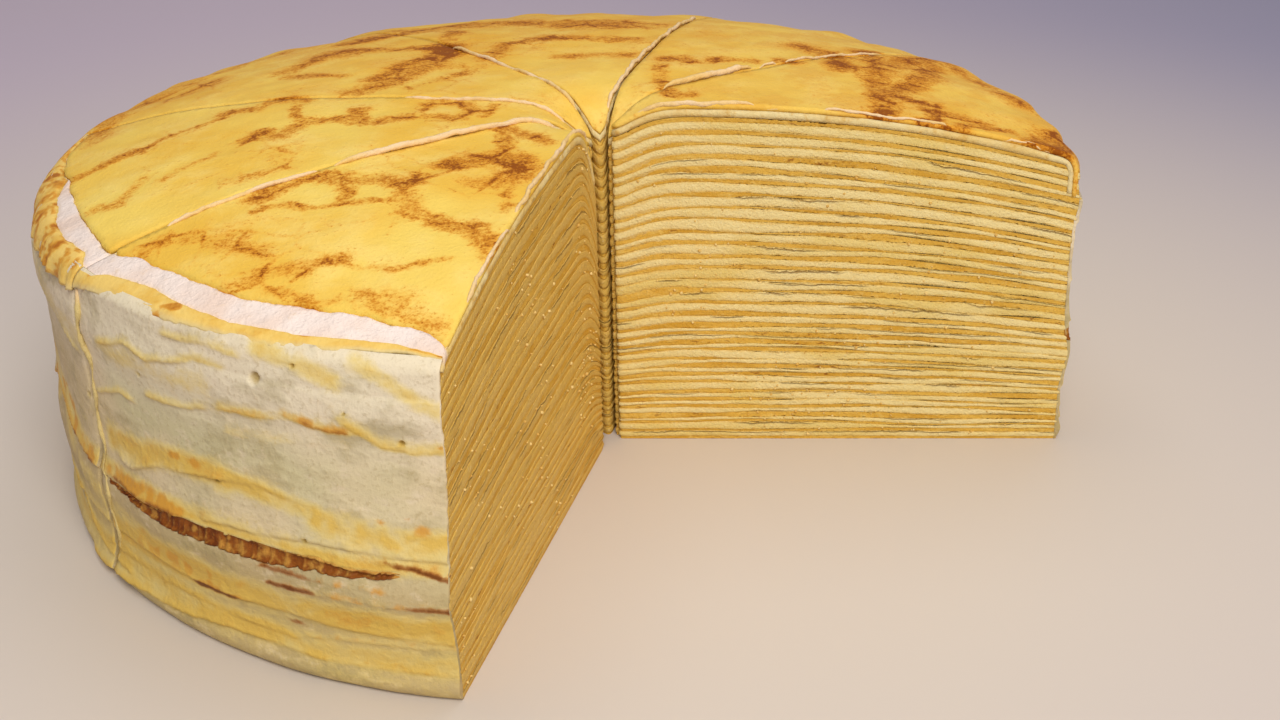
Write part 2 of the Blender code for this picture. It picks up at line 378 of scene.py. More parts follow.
def grain(spots, scale, seed=0.0):
    """Soft noise from about -1 to 1 at every spot."""
    return np.array([noise.noise((x * scale + seed, y * scale - seed, z * scale)) for x, y, z in spots])


class Slice:
    """One slice's plan, seen from above, and the height of its top."""

    def __init__(self, name, start, end, point, sag, folded, open_cuts, painted_shade):
        self.name = name
        self.cuts = (start, end)
        self.point = point
        self.sag = sag
        self.folded = folded
        self.open_cuts = open_cuts
        self.painted_shade = painted_shade

    def cut(self, side):
        """Where a cut's line starts, its direction, and the way from it into the slice."""
        ahead = toward(self.cuts[side])
        inward = toward(self.cuts[side] + (90.0, -90.0)[side])
        return CUT_CENTRE + inward * KERF / 2, ahead, inward

    def reach(self, side, radius):
        """How far along a cut it meets a circle about the cake's axis."""
        start, ahead, _ = self.cut(side)
        start = start - AXIS
        along = start @ ahead
        return -along + math.sqrt(along * along - start @ start + radius * radius)

    def cut_spots(self, side, distances):
        """Spots on a cut's line, so far along it."""
        start, ahead, _ = self.cut(side)
        return start + np.outer(distances, ahead)

    def spots_at(self, side, radii):
        """Spots on a cut's line, so far from the cake's axis."""
        return self.cut_spots(side, [self.reach(side, radius) for radius in radii])

    def bearing(self, side, radius):
        """Azimuth about the cake's axis, in radians, at which a cut meets a circle."""
        x, y = self.spots_at(side, [radius])[0] - AXIS
        return math.atan2(y, x) + (2 * math.pi if y < 0 and self.cuts[0] > 90 else 0.0)

    def top(self, xy):
        """Height of the top above each spot: the dome, less the sag at the slice's point."""
        outward = np.hypot(*(xy - AXIS).T) / RADIUS
        dome = CENTRE_HEIGHT - (CENTRE_HEIGHT - RIM_HEIGHT) * outward**DOME_POWER
        from_cuts = np.hypot(*(xy - CUT_CENTRE).T)
        return dome - self.sag * bell(from_cuts, SAG_SPREAD)

    def arc(self, radius, step):
        """Azimuths in radians from cut to cut at a radius, about a step apart."""
        ends = [self.bearing(side, radius) for side in (0, 1)]
        return np.linspace(*ends, round((ends[1] - ends[0]) * RADIUS / step))

    def outline(self, radius, steps, arc_step):
        """The slice's edge, anticlockwise: out along one cut, round the arc, back, and the blunt tip.

        It comes with 1 for each spot on a cut or the tip, 0 for the arc, and each spot's way out."""
        reaches = [self.reach(side, radius) for side in (0, 1)]
        cuts = []
        for side in (0, 1):
            near = self.point + FINE_REACH
            inner = np.arange(self.point, near, FINE_STEP)
            count = max(2, round((reaches[side] - near) / steps[side]))
            outer = np.linspace(near, reaches[side], count)
            cuts.append(self.cut_spots(side, np.concatenate((inner, outer))))
        bearings = [self.bearing(side, radius) for side in (0, 1)]
        count = max(3, round((bearings[1] - bearings[0]) * radius / arc_step))
        turns = np.linspace(*bearings, count + 1)[1:-1]
        around = ways_at(turns)
        arc = AXIS + radius * around
        first, last = cuts[0][0], cuts[1][0]
        pull = (first + last) / 2 + (CUT_CENTRE - (first + last) / 2) * TIP_PULL
        shares = np.linspace(0.0, 1.0, TIP_STEPS + 2)[1:-1, None]
        tip = last * (1 - shares) ** 2 + pull * 2 * shares * (1 - shares) + first * shares**2
        spots = np.concatenate((cuts[0], arc, cuts[1][::-1], tip))
        flags = [np.ones(len(cuts[0])), np.zeros(len(arc)), np.ones(len(cuts[1])), np.ones(len(tip))]
        along = [np.tile(self.cut(side)[1], (len(cuts[side]), 1)) for side in (0, 1)]
        along = np.concatenate((along[0], around, along[1], np.zeros_like(tip)))
        return spots, np.concatenate(flags), along


# The last value is how much painted shade each slice's cream takes: a darker gold where the slice stands
# in shade.
SLICES = (
    Slice("slice_1", -5.0, 37.0, 0.0035, 0.0050, True, (0,), 0.0),
    Slice("slice_2", 37.0, 73.0, 0.0040, 0.0080, True, (), 0.9),
    Slice("slice_3", 73.0, 122.0, 0.0040, 0.0070, True, (), 0.9),
    Slice("slice_4", 122.0, 165.0, 0.0045, 0.0080, True, (), 0.9),
    Slice("slice_5", 165.0, 206.5, 0.0045, 0.0090, False, (), 0.9),
    Slice("slice_6", 206.5, 253.0, 0.0055, 0.0200, False, (1,), 0.8),
)


def outward_ways(outline):
    """The level direction out of an anticlockwise outline at each of its spots."""
    ahead = np.roll(outline, -1, axis=0) - np.roll(outline, 1, axis=0)
    ways = np.column_stack((ahead[:, 1], -ahead[:, 0]))
    return ways / np.linalg.norm(ways, axis=1)[:, None]


def ring_faces(rows, count):
    """Quads between rows of spots that each go right round, anticlockwise, from the bottom up."""
    faces = []
    for low in range(0, (rows - 1) * count, count):
        for i in range(count):
            j = (i + 1) % count
            faces.append((low + i, low + j, low + count + j, low + count + i))
    return faces


def turned(flat, a, b, c):
    """Three corners of flat spots, in the order that runs anticlockwise."""
    return (a, b, c) if np.cross(flat[b] - flat[a], flat[c] - flat[a]) > 0 else (a, c, b)


def closed_rings(name, rings, materials, values):
    """A closed piece from rings of spots, each anticlockwise, from the bottom up."""
    rows, count = rings.shape[:2]
    faces = ring_faces(rows, count)
    for row, order in ((0, -1), (rows - 1, 1)):
        flat = rings[row, :, :2]
        for corners in geometry.tessellate_polygon([[Vector((*spot, 0.0)) for spot in flat]]):
            faces.append([row * count + corner for corner in turned(flat, *corners)[::order]])
    return piece_from(name, rings.reshape(-1, 3).tolist(), faces, materials, values)


def unit_layer(name, plan, rows):
    """One layer of a slice before it is stacked: its edge in rows, shut above and below."""
    steps = [FINE_STEP if side in plan.open_cuts else HIDDEN_STEP for side in (0, 1)]
    outline, cut, along = plan.outline(RADIUS - COAT_SKIN - TOUCH, steps, ARC_STEP)
    count = len(outline)
    turn = azimuth(outline - AXIS)
    past = np.sin(turn - math.radians(sum(plan.cuts) / 2))
    opened = np.where(past < 0, 0 in plan.open_cuts, 1 in plan.open_cuts)
    uneven = sum(depth * np.sin(waves * turn + waves) for waves, depth in UNEVENNESS)
    uneven = uneven + np.where(cut > 0, COAT_SKIN - SKIN_AT_OPEN_CUT, 0.0) * opened
    values = {
        "cut": cut, "outward": lifted(outward_ways(outline)), "along": lifted(along), "uneven": uneven,
        "near_wall": smooth(*NEAR_WALL, np.hypot(*(outline - AXIS).T)),
        "painted_shade": np.full(count, plan.painted_shade),
        "corner": bell(half_turn(turn - OPEN_CORNER[0]), OPEN_CORNER_SPREAD[0]),
    }
    values = {key: np.concatenate([found] * len(rows)) for key, found in values.items()}
    rings = np.tile(lifted(outline), (len(rows), 1, 1))
    return closed_rings(name, rings, [], values | {"rise": np.repeat(rows, count)})


def new_tree(name, **inputs):
    """A geometry tree with named inputs, its recipe, and a wire for each input."""
    kinds = {float: "NodeSocketFloat", int: "NodeSocketInt", bpy.types.Material: "NodeSocketMaterial"}
    tree = bpy.data.node_groups.new(name, "GeometryNodeTree")
    tree.interface.new_socket("Geometry", in_out="INPUT", socket_type="NodeSocketGeometry")
    for label, kind in inputs.items():
        tree.interface.new_socket(label, in_out="INPUT", socket_type=kinds[kind])
    tree.interface.new_socket("Geometry", in_out="OUTPUT", socket_type="NodeSocketGeometry")
    recipe = Recipe(tree)
    entry = tree.nodes.new("NodeGroupInput")
    wires = {socket.name: Wire(recipe, socket) for socket in entry.outputs if socket.name}
    return tree, recipe, wires


def close_tree(recipe, shape, material):
    """Ends a tree: instances made real, shaded smooth and given their material."""
    shape = recipe.node("GeometryNodeRealizeInstances", inputs={0: shape})
    shape = recipe.node("GeometryNodeSetShadeSmooth", inputs={0: shape, 2: True})
    shape = recipe.node("GeometryNodeSetMaterial", inputs={0: shape, 2: material})
    end = recipe.tree.nodes.new("NodeGroupOutput")
    recipe.tree.links.new(shape.socket, end.inputs[0])


def held(recipe, name, kind="FLOAT"):
    """What the mesh that a tree works on holds under a name."""
    return recipe.node("GeometryNodeInputNamedAttribute", {"data_type": kind}, {0: name})


def grow(base, tree, name, **values):
    """Runs a tree on a base piece and gives the plain piece that comes out of it."""
    modifier = base.modifiers.new(tree.name, "NODES")
    modifier.node_group = tree
    for item in tree.interface.items_tree:
        if item.in_out == "INPUT" and item.name in values:
            modifier[item.identifier] = values[item.name]
    graph = bpy.context.evaluated_depsgraph_get()
    data = bpy.data.meshes.new_from_object(base.evaluated_get(graph))
    data.name = name
    bpy.data.objects.remove(base)
    made = bpy.data.objects.new(name, data)
    bpy.context.scene.collection.objects.link(made)
    return made


def finish(piece, slot, *nodes):
    """Attaches a finished piece to the root and hides the parts it stands for; the slot it is given is
    not used.
    """
    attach(piece, "root")
    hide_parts(*nodes)


stack_inputs = {"Layers": int, "First layer": float, "Sag": float, "Swell": float, "Set back": float}
stack_inputs |= {"Roughness": float, "Ragged ends": float, "Seed": float, "Material": bpy.types.Material}
stack_tree, recipe, given = new_tree("stacked_layers", **stack_inputs)


def boundary_height(recipe, number, x, y, top, seed):
    """Height of the surface between two layers, counted from the bottom, above each spot."""
    pair = (number * 0.5 + 0.01).math("FLOOR")
    part = number - pair * 2.0
    pressed = pair.low(float(PRESSED_CREPES))
    pitch = pair.ramp(PRESSED_CREPES - 0.6, PRESSED_CREPES - 0.4, PRESSED_PITCH, 1.0)
    share = pressed * PRESSED_PITCH + (pair - pressed) + part * pitch * CREPE_SHARE
    whole = PRESSED_CREPES * PRESSED_PITCH + STACK_CREPES - 1 - PRESSED_CREPES + CREPE_SHARE
    flat = recipe.join(x, y)
    wave = 0.0
    for kind, (scale, change, depth) in enumerate(WAVES):
        swing = recipe.noise(flat, scale, 1.0, w=number * change + seed + 20.0 * kind)
        wave = (swing - 0.5) * depth + wave
    last = 2 * STACK_CREPES - 1
    fade = number.ramp(0.0, 4.0) * number.ramp(last - 5.0, float(last), 1.0, 0.0)
    return top * (share / whole) + wave * fade


spot = recipe.node("GeometryNodeInputPosition")
x, y = (recipe.part(spot, axis) for axis in (0, 1))
number, rise, cut = (held(recipe, name) for name in ("layer", "rise", "cut"))


def distance_from(x, y, centre):
    """How far each spot is from a centre, seen from above."""
    east = x - float(centre[0])
    north = y - float(centre[1])
    return (east * east + north * north).math("SQRT")


def bump(value, middle, reach):
    """1 where a wire's value is at the middle, falling off over the reach."""
    off = (value - middle) / reach
    return (off * off * -1.0).math("EXPONENT")


outward = distance_from(x, y, AXIS) / RADIUS
dome = CENTRE_HEIGHT - (outward**DOME_POWER) * (CENTRE_HEIGHT - RIM_HEIGHT) - STACK_DEPTH
tips = bump(distance_from(x, y, CUT_CENTRE), 0.0, SAG_SPREAD)
top = dome - tips * given["Sag"]
below = boundary_height(recipe, number, x, y, top, given["Seed"])
above = boundary_height(recipe, number + 1.0, x, y, top, given["Seed"])
height = below + (above - below) * rise

flat = recipe.join(x, y, rise * RIDGE_PITCH)
stretches = recipe.noise(flat, 130.0, 1.0, w=number * 5.3 + given["Seed"])
lumps = recipe.noise(flat, 900.0, 2.0, 0.6, w=number * 9.1 + given["Seed"])
crown = 1.0 - (rise * 2.0 - 1.0) * (rise * 2.0 - 1.0)
swell = (crown.high(0.0) ** 0.7) * given["Swell"] * (stretches * 1.6 - 0.1) * (tips * 1.2 + 1.0)
relief = swell - given["Set back"] + (lumps - 0.5) * given["Roughness"]
push = recipe.vector("SCALE", a=held(recipe, "outward", "FLOAT_VECTOR"), by=relief * cut)
moved = recipe.vector("ADD", a=recipe.join(x, y, height), b=push)

open_corner = held(recipe, "corner") * bump(height, OPEN_CORNER[1], OPEN_CORNER_SPREAD[1])
swollen = held(recipe, "uneven") + open_corner * OPEN_CORNER[2]
for middle, depth, reach in HEMS:
    swollen = swollen + bump(height, middle, reach) * depth
ends = recipe.noise(flat, 5.0, 0.0, w=number * 7.7 + given["Seed"]).ramp(0.30, 0.70)
swollen = (swollen + ends * given["Ragged ends"] * cut) * held(recipe, "near_wall")
push = recipe.vector("SCALE", a=held(recipe, "along", "FLOAT_VECTOR"), by=swollen)
moved = recipe.vector("ADD", a=moved, b=push)

line = recipe.node("GeometryNodeMeshLine", inputs={0: given["Layers"]})
count = recipe.node("GeometryNodeInputIndex") * 2.0 + given["First layer"]
store = {0: line, 2: "layer", 3: count}
line = recipe.node("GeometryNodeStoreNamedAttribute", {"data_type": "FLOAT"}, store)
copies = recipe.node("GeometryNodeInstanceOnPoints", inputs={0: line, 2: given["Geometry"]})
copies = recipe.node("GeometryNodeRealizeInstances", inputs={0: copies})
copies = recipe.node("GeometryNodeSetPosition", inputs={0: copies, 2: moved})
close_tree(recipe, copies, given["Material"])


def drawn_out(recipe, layer, rise):
    """A place that follows the layers, however they sag: level, then how high in which layer."""
    spot = recipe.place()
    return recipe.join(recipe.part(spot, 0), recipe.part(spot, 1), (layer + rise) * PATTERN_PITCH)


crepe_edge, recipe, shader = food("crepe_edge", Roughness=0.55, Specular_IOR_Level=0.15)
spot = recipe.place()
layer = recipe.value("layer")
rise = recipe.value("rise")
streaky = drawn_out(recipe, layer, rise)
long_way = recipe.noise(streaky, 60.0, 2.0)
patchy = recipe.noise(streaky, 300.0, 3.0, 0.6)
thin = recipe.noise(streaky, 1100.0, 2.0, 0.6)
fine = recipe.noise(spot, 1500.0, 2.0, 0.6)
colour = recipe.mottled(long_way, 0.35, 0.65, (222, 177, 74), (208, 158, 54))
colour = recipe.coats(
    colour,
    (patchy, 0.50, 0.74, 0.6, (234, 200, 108)),
    (thin, 0.52, 0.72, 0.25, (200, 148, 56)),
    (fine, 0.58, 0.78, 0.35, (240, 216, 140)),
)
browned_layers = recipe.noise(spot, 22.0, 1.0, w=layer * 0.9 + 7.0)
specks = recipe.noise(streaky, 360.0, 3.0, 0.7)
brown = browned_layers.ramp(0.50, 0.66) * specks.ramp(0.56, 0.66)
colour = recipe.blend(brown * 0.8, colour, paint(136, 74, 22))
feed(recipe, shader, colour, height=fine * 0.8 + patchy * 0.6, depth=0.0004)

filling, recipe, shader = food("filling_cream", Roughness=0.5, Specular_IOR_Level=0.15)
spot = recipe.place()
layer = recipe.value("layer")
rise = recipe.value("rise")
streaky = drawn_out(recipe, layer, rise)
long_way = recipe.noise(streaky, 45.0, 2.0)
patchy = recipe.noise(streaky, 300.0, 3.0, 0.65)
thin = recipe.noise(streaky, 1000.0, 2.0, 0.65)
fine = recipe.noise(spot, 1700.0, 3.0, 0.65)
colour = recipe.mottled(long_way, 0.40, 0.70, (240, 219, 152), (231, 204, 120))
# Painted shade: the cream of the slices that stand in shade is painted a darker gold.
colour = recipe.blend(recipe.value("painted_shade"), colour, paint(214, 172, 74))
beside = (rise * 2.0 - 1.0).math("ABSOLUTE") + (patchy - 0.5) * 1.1 + (fine - 0.5) * 0.5
colour = recipe.coats(
    colour,
    (beside, 0.45, 1.15, 0.75, (228, 186, 88)),
    (thin, 0.54, 0.74, 0.2, (212, 164, 76)),
    (fine, 0.56, 0.78, 0.4, (250, 238, 198)),
)
# Painted shade: a thin crack near the top of each cream layer, painted dark as the shade inside it and
# sunk a little.
across = recipe.noise(spot, 36.0, 2.0, 0.6, w=layer * 2.9 + 3.0)
wander = recipe.noise(spot, 300.0, 3.0, 0.7, w=layer * 6.1) - 0.5
shaded_crack = (rise - 0.80 + wander * 0.7).math("ABSOLUTE").ramp(0.03, 0.11, 1.0, 0.0)
shaded_crack = shaded_crack * across.ramp(0.54, 0.62)
colour = recipe.blend(shaded_crack * 0.6, colour, paint(140, 94, 36))
feed(recipe, shader, colour, height=fine * 0.8 + patchy * 0.7 - shaded_crack, depth=0.0005)

crepe_look = {"Layers": STACK_CREPES, "First layer": 0.0, "Material": crepe_edge}
crepe_look |= {"Swell": 0.0, "Set back": 0.00010, "Roughness": 0.00018, "Ragged ends": 0.0007}
cream_look = {"Layers": STACK_CREPES - 1, "First layer": 1.0, "Material": filling}
cream_look |= {"Swell": 0.00016, "Set back": 0.00004, "Roughness": 0.00022, "Ragged ends": 0.0005}
for number, plan in enumerate(SLICES):
    for kind, rows, look in (("crepes", CREPE_ROWS, crepe_look), ("creams", CREAM_ROWS, cream_look)):
        base = unit_layer("base", plan, rows)
        layers = grow(base, stack_tree, f"{plan.name}_{kind}", Sag=plan.sag, Seed=5.0 * number, **look)
        finish(layers, "crepe_layers", f"{plan.name}_stack")


# ---------------------------------------------------------------------------------------------
# The last crepe: one thin sheet over the whole cake, laid with its lacy browned side up. It was
# laid a little off the middle, so it folds over the rim at the back and ends short of it in
# front. The browning is where the batter touched the pan.
# ---------------------------------------------------------------------------------------------
MM = 0.001
FOLD_START = RADIUS - 0.0030
FOLD_RADIUS = 0.0048
FOLD_TILT = math.atan(DOME_POWER * (CENTRE_HEIGHT - RIM_HEIGHT) / RADIUS * (FOLD_START / RADIUS) ** 2)
SKIRT_LENGTH = 0.0109
# Where the last crepe ends in front: azimuth in degrees and distance from the axis in mm
CREPE_END = (
    (160, 107.5), (180, 106), (186, 104), (188, 102.6), (195, 101.8), (202, 101.4), (207, 101.4),
    (214, 102), (216.5, 101.3), (218, 99.8), (229, 99.2), (236, 100.1), (242, 99.2), (250, 99.2),
    (254, 100.6), (257, 101.9), (258.5, 104), (260, 106),
)
PLEATS_ROUND_THE_CAKE = 30
PLEAT_DEPTH = 0.0007
RIPPLE = 0.0016
# How much of the pleats and the ripple is left where the last crepe ends short of the rim
PLEATS_WHERE_SHORT = 0.3
RIPPLE_WHERE_SHORT = 0.2
CREAM_TOP = CREPE_THICKNESS + TOUCH
CREAM_BOTTOM = CREAM_TOP + TOP_CREAM_THICKNESS
SHEET_STEP = 0.0010
UNDER_STEP = 0.0060
TRIES_AT_CORNER = 8
NOSE_PULL = 0.35
SPREAD_REACH = RADIUS + 0.014
SPREAD_MARGIN = 0.7
# How far a sheet's edge swells out between its two sides
CREPE_SWELL = 0.00015
# Lumps in the last crepe: depth, scale and seed
CREPE_LUMPS = ((0.00045, 55.0, 4.0), (0.00012, 260.0, 8.0))
# How the browning's edges are pulled about: mm, scale and seeds
BROWNING_PULLS = ((1.1, 0.16, 11.0, 31.0), (0.8, 0.6, 17.0, 37.0))
# Browned streaks on the crepe, in millimetres from the cake's axis: width, strength, course
STREAKS = (
    (3.5, 1.0, ((-21, -43), (-16, -40), (-12, -39), (-8, -45))),
    (3.2, 0.9, ((-17, -52), (-12, -52), (-8, -50))),
    (2.2, 0.8, ((-12, -22), (-9, -26), (-5, -30), (-3, -34))),
    (2.0, 0.9, ((-12, -22), (-11, -35), (-10, -40))),
    (1.8, 0.6, ((-8, -50), (-11, -58), (-10, -63))),
    (2.5, 1.0, ((-58, -49), (-51, -43), (-45, -42), (-40, -46), (-34, -47), (-29, -51), (-27, -47))),
    (1.8, 0.9, ((-46, -44), (-40, -49), (-41, -53))),
    (1.1, 0.8, ((-57, -54), (-53, -53), (-47, -56), (-36, -56), (-28, -58))),
    (2.8, 0.9, ((-29, -52), (-28, -62), (-24, -65), (-20, -69), (-16, -71), (-13, -76))),
    (1.0, 0.4, ((-30, -63), (-32, -69))),
    (2.2, 0.5, ((-16, -72), (-14, -81))),
    (2.2, 0.8, ((-78, -62), (-75, -58), (-68, -60))),
    (1.5, 0.5, ((-68, -60), (-63, -62), (-58, -63))),
    (2.2, 0.5, ((-64, -63), (-60, -66), (-54, -70), (-54, -72))),
    (2.4, 0.7, ((-58, -79), (-55, -79), (-52, -76), (-47, -78))),
    (1.6, 0.7, ((-52, -76), (-46, -76), (-39, -76))),
    (0.9, 0.5, ((-39, -76), (-36, -79), (-30, -81), (-20, -80))),
    (1.6, 0.6, ((-52, -83), (-48, -84), (-43, -89), (-37, -87), (-32, -88))),
    (3.0, 0.4, ((-32, -88), (-28, -90), (-25, -97), (-22, -98))),
    (2.8, 0.4, ((-36, -88), (-32, -91), (-29, -93))),
    (1.9, 0.8, ((-100, -17), (-96, -15), (-90, -11), (-87, -12))),
    (1.1, 0.7, ((-87, -12), (-82, -5), (-77, -3), (-71, 0))),
    (2.2, 0.9, ((-72, 3), (-69, 4), (-65, 2), (-62, 6), (-55, 5))),
    (2.5, 1.0, ((-65, -18), (-61, -14), (-57, -18), (-53, -11), (-42, -11), (-42, -7))),
    (1.5, 0.9, ((-56, 1), (-55, -9))),
    (2.2, 0.9, ((-42, -13), (-37, -15), (-31, -13))),
    (1.9, 0.9, ((-29, -9), (-26, -4), (-20, -7), (-18, -12), (-21, -16), (-26, -14))),
    (1.2, 0.8, ((-16, -15), (-13, -9))),
    (2.0, 0.5, ((-92, -38), (-86, -38), (-83, -28))),
    (1.5, 0.4, ((-80, -32), (-72, -25), (-69, -22))),
    (3.0, 0.4, ((-65, -39), (-54, -36), (-56, -27))),
    (3.8, 0.6, ((-88, 32), (-80, 40))),
    (3.8, 0.8, ((-44, 6), (-36, 14), (-24, 34))),
    (5.0, 0.8, ((-40, 72), (0, 68), (23, 62))),
    (4.5, 0.9, ((-50, 60), (-40, 67), (-27, 73), (-6, 70), (6, 61), (20, 57))),
    (3.0, 0.9, ((-63, 33), (-59, 38), (-52, 48), (-39, 44), (-29, 42), (-26, 50), (-25, 60))),
    (5.0, 0.7, ((-53, 47), (-49, 45))),
    (3.2, 1.0, ((-40, 17), (-34, 26), (-27, 32), (-25, 42))),
    (2.2, 0.6, ((-48, 22), (-62, 27))),
    (2.8, 0.8, ((-16, 29), (-12, 40), (-1, 46), (18, 41))),
    (2.0, 0.5, ((-24, 24), (-17, 21), (-24, 14), (-33, 7))),
    (5.0, 0.4, ((-103, 9), (-102, 32), (-91, 42), (-70, 70))),
    (2.8, 0.6, ((1, 27), (16, 28))),
    (2.2, 0.9, ((24, 22), (28, 24), (30, 20))),
    (2.0, 0.9, ((23, 16), (22, 4), (24, -6), (27, -6))),
    (2.2, 0.9, ((35, 22), (41, 23), (44, 22))),
    (2.0, 0.9, ((50, 23), (53, 22))),
    (3.8, 1.0, ((57, 40), (61, 36), (65, 32), (64, 19))),
    (4.0, 1.0, ((73, 41), (73, 28), (78, 30), (89, 43))),
    (3.8, 1.0, ((89, 43), (83, 19), (77, 10), (71, 2), (70, 9), (72, 21))),
    (2.2, 0.9, ((70, 2), (77, -2), (80, -3))),
    (2.5, 0.9, ((68, -1), (69, -7), (68, -14), (63, -20), (64, -24))),
    (1.6, 0.9, ((68, -16), (71, -21), (74, -21), (79, -10))),
    (2.5, 1.0, ((79, -8), (85, -9), (89, -9), (89, -12))),
    (2.1, 0.9, ((79, -14), (81, -19), (86, -13))),
    (1.9, 0.9, ((89, -13), (95, -12))),
    (3.0, 0.9, ((96, -22), (102, -12), (108, -5), (105, -16), (100, -25))),
    (3.8, 0.6, ((92, 48), (98, 30), (104, 14))),
)


def ragged(turn, depth, seed):
    """A torn edge's uneven way in and out, at azimuths in radians."""
    around = lifted(ways_at(turn), seed) * RADIUS
    return depth * (grain(around, 160.0, seed) + 0.5 * grain(around, 600.0, seed))


def read_off(table, turn):
    """Distances at azimuths in radians, from a table in degrees and millimetres."""
    return np.interp(np.degrees(turn), *zip(*table)) * MM


def crepe_edge_at(plan, turn):
    """How far the last crepe reaches, measured over the fold, at each azimuth in radians."""
    if plan.folded:
        return FOLD_START + SKIRT_LENGTH + ragged(turn, 0.0012, 3.0)
    return read_off(CREPE_END, turn) + ragged(turn, 0.0005, 5.0)


def sheet_outline(plan, edge, step):
    """A sheet's edge before it is folded, anticlockwise: out, round, back, and the blunt tip."""
    sides = []
    ends = []
    for side in (0, 1):
        reach = FOLD_START
        for _ in range(TRIES_AT_CORNER):
            turn = plan.bearing(side, reach)
            far = float(edge(np.array([turn]))[0])
            reach = min(FOLD_START, far)
        along = np.arange(plan.point, plan.reach(side, reach), step)
        over = np.arange(reach, far, step)[1:]
        beyond = AXIS + np.outer(over, (math.cos(turn), math.sin(turn)))
        sides.append(np.concatenate((plan.cut_spots(side, along), beyond)))
        ends.append(turn)
    turns = np.arange(*ends, step / RADIUS)[1:]
    arc = AXIS + edge(turns)[:, None] * ways_at(turns)
    middle = (sides[0][0] + sides[1][0]) / 2
    nose = middle + (CUT_CENTRE - middle) * NOSE_PULL
    return np.concatenate((sides[0], arc, sides[1][::-1], [nose])), ends


def spread(plan, edge, ends, step, inner=None):
    """Evenly spread spots inside a sheet's edge, clear of it."""
    margin = SPREAD_MARGIN * step
    columns = np.arange(-SPREAD_REACH, SPREAD_REACH, step)
    rows = np.arange(-SPREAD_REACH, SPREAD_REACH, step * math.sqrt(3) / 2)
    east, north = np.meshgrid(columns, rows)
    east = east + (np.arange(len(east)) % 2)[:, None] * step / 2
    spots = np.column_stack((east.ravel(), north.ravel()))
    off = spots - AXIS
    middle = sum(ends) / 2
    turn = half_turn(azimuth(off) - middle) + middle
    far = np.hypot(*off.T)
    inside = np.hypot(*(spots - CUT_CENTRE).T) > plan.point + margin
    for side, sign in ((0, 1.0), (1, -1.0)):
        start, _, inward = plan.cut(side)
        beyond = (turn - ends[side]) * sign * far
        inside &= np.where(far > FOLD_START, beyond, (spots - start) @ inward) > margin
    spots, turn, far = spots[inside], turn[inside], far[inside]
    inside = far < edge(turn) - margin
    if inner is not None:
        inside &= far > inner
    return spots[inside]


def fold(plan, spots, depth):
    """Where a flat sheet's spots come to lie: on the dome and then over the rim, at a depth."""
    off = spots - AXIS
    far = np.maximum(np.hypot(*off.T), 1e-9)
    ways = off / far[:, None]
    start = np.minimum(far, FOLD_START)
    over = np.maximum(far - FOLD_START, 0.0)
    tilt = np.minimum(FOLD_TILT + over / FOLD_RADIUS, math.pi / 2)
    drop = over - (tilt - FOLD_TILT) * FOLD_RADIUS
    share = (np.sin(tilt) - math.sin(FOLD_TILT)) / (1 - math.sin(FOLD_TILT))
    turn = azimuth(off)
    pleat = PLEAT_DEPTH * np.sin(turn * PLEATS_ROUND_THE_CAKE + 1.5 * np.sin(turn * 7))
    pleat = pleat * share * (1.0 if plan.folded else PLEATS_WHERE_SHORT)
    ripple = RIPPLE * smooth(0.7 * RADIUS, RADIUS, far) * grain(lifted(ways), 8.0)
    ripple = ripple * np.clip(1 - depth / CREAM_BOTTOM, 0, 1)
    ripple = ripple * (1.0 if plan.folded else RIPPLE_WHERE_SHORT)
    radius = start + (1 - math.sin(FOLD_TILT)) * FOLD_RADIUS * share + pleat - depth * share
    level = plan.top(AXIS + ways * start[:, None]) - FOLD_RADIUS * (math.cos(FOLD_TILT) - np.cos(tilt))
    level = level - drop - depth * np.cos(tilt) / math.cos(FOLD_TILT) + ripple
    return np.column_stack((AXIS + ways * radius[:, None], level))


def sheet_spots(plan, edge, step):
    """A sheet's edge, its two ends round the cake, and coarse spots for its underside."""
    outline, ends = sheet_outline(plan, edge, step)
    return outline, ends, spread(plan, edge, ends, UNDER_STEP)


def lumpy(spots, lumps):
    """Spots raised and sunk by soft noise: the depth, scale and seed of each."""
    spots[:, 2] += sum(depth * grain(spots, scale, seed) for depth, scale, seed in lumps)
    return spots


def fill(outline, inner):
    """Triangles that fill an outline, with the inner spots as corners too."""
    spots = np.concatenate((outline, inner))
    edges = [(i, (i + 1) % len(outline)) for i in range(len(outline))]
    found = geometry.delaunay_2d_cdt([Vector(spot) for spot in spots], edges, [], 1, 1e-9)
    origin = [first[0] for first in found[3]]
    return [turned(spots, *(origin[corner] for corner in face)) for face in found[2]]


def closed_sheet(name, outline, upper, lower, over, under, swell, material, values):
    """A closed sheet from its outline and inner spots, and from what puts them in place."""
    count = len(outline)
    top = over(np.concatenate((outline, upper)))
    bottom = under(np.concatenate((outline, lower)))
    middle = (top[:count] + bottom[:count]) / 2
    bulge = swell * (0.6 + 0.8 * grain(middle, 700.0, 2.0))
    middle = middle + lifted(outward_ways(outline)) * bulge[:, None]
    faces = fill(outline, upper)
    mid, low = len(top), len(top) + count
    faces += [(low + c, low + b, low + a) for a, b, c in fill(outline, lower)]
    for i in range(count):
        j = (i + 1) % count
        faces.append((mid + i, mid + j, j, i))
        faces.append((low + i, low + j, mid + j, mid + i))
    spots = np.concatenate((top, middle, bottom))
    flat = np.concatenate((outline, upper, outline, outline, lower))
    found = {key: rule(flat) for key, rule in values.items()}
    return piece_from(name, spots.tolist(), faces, [material], found)


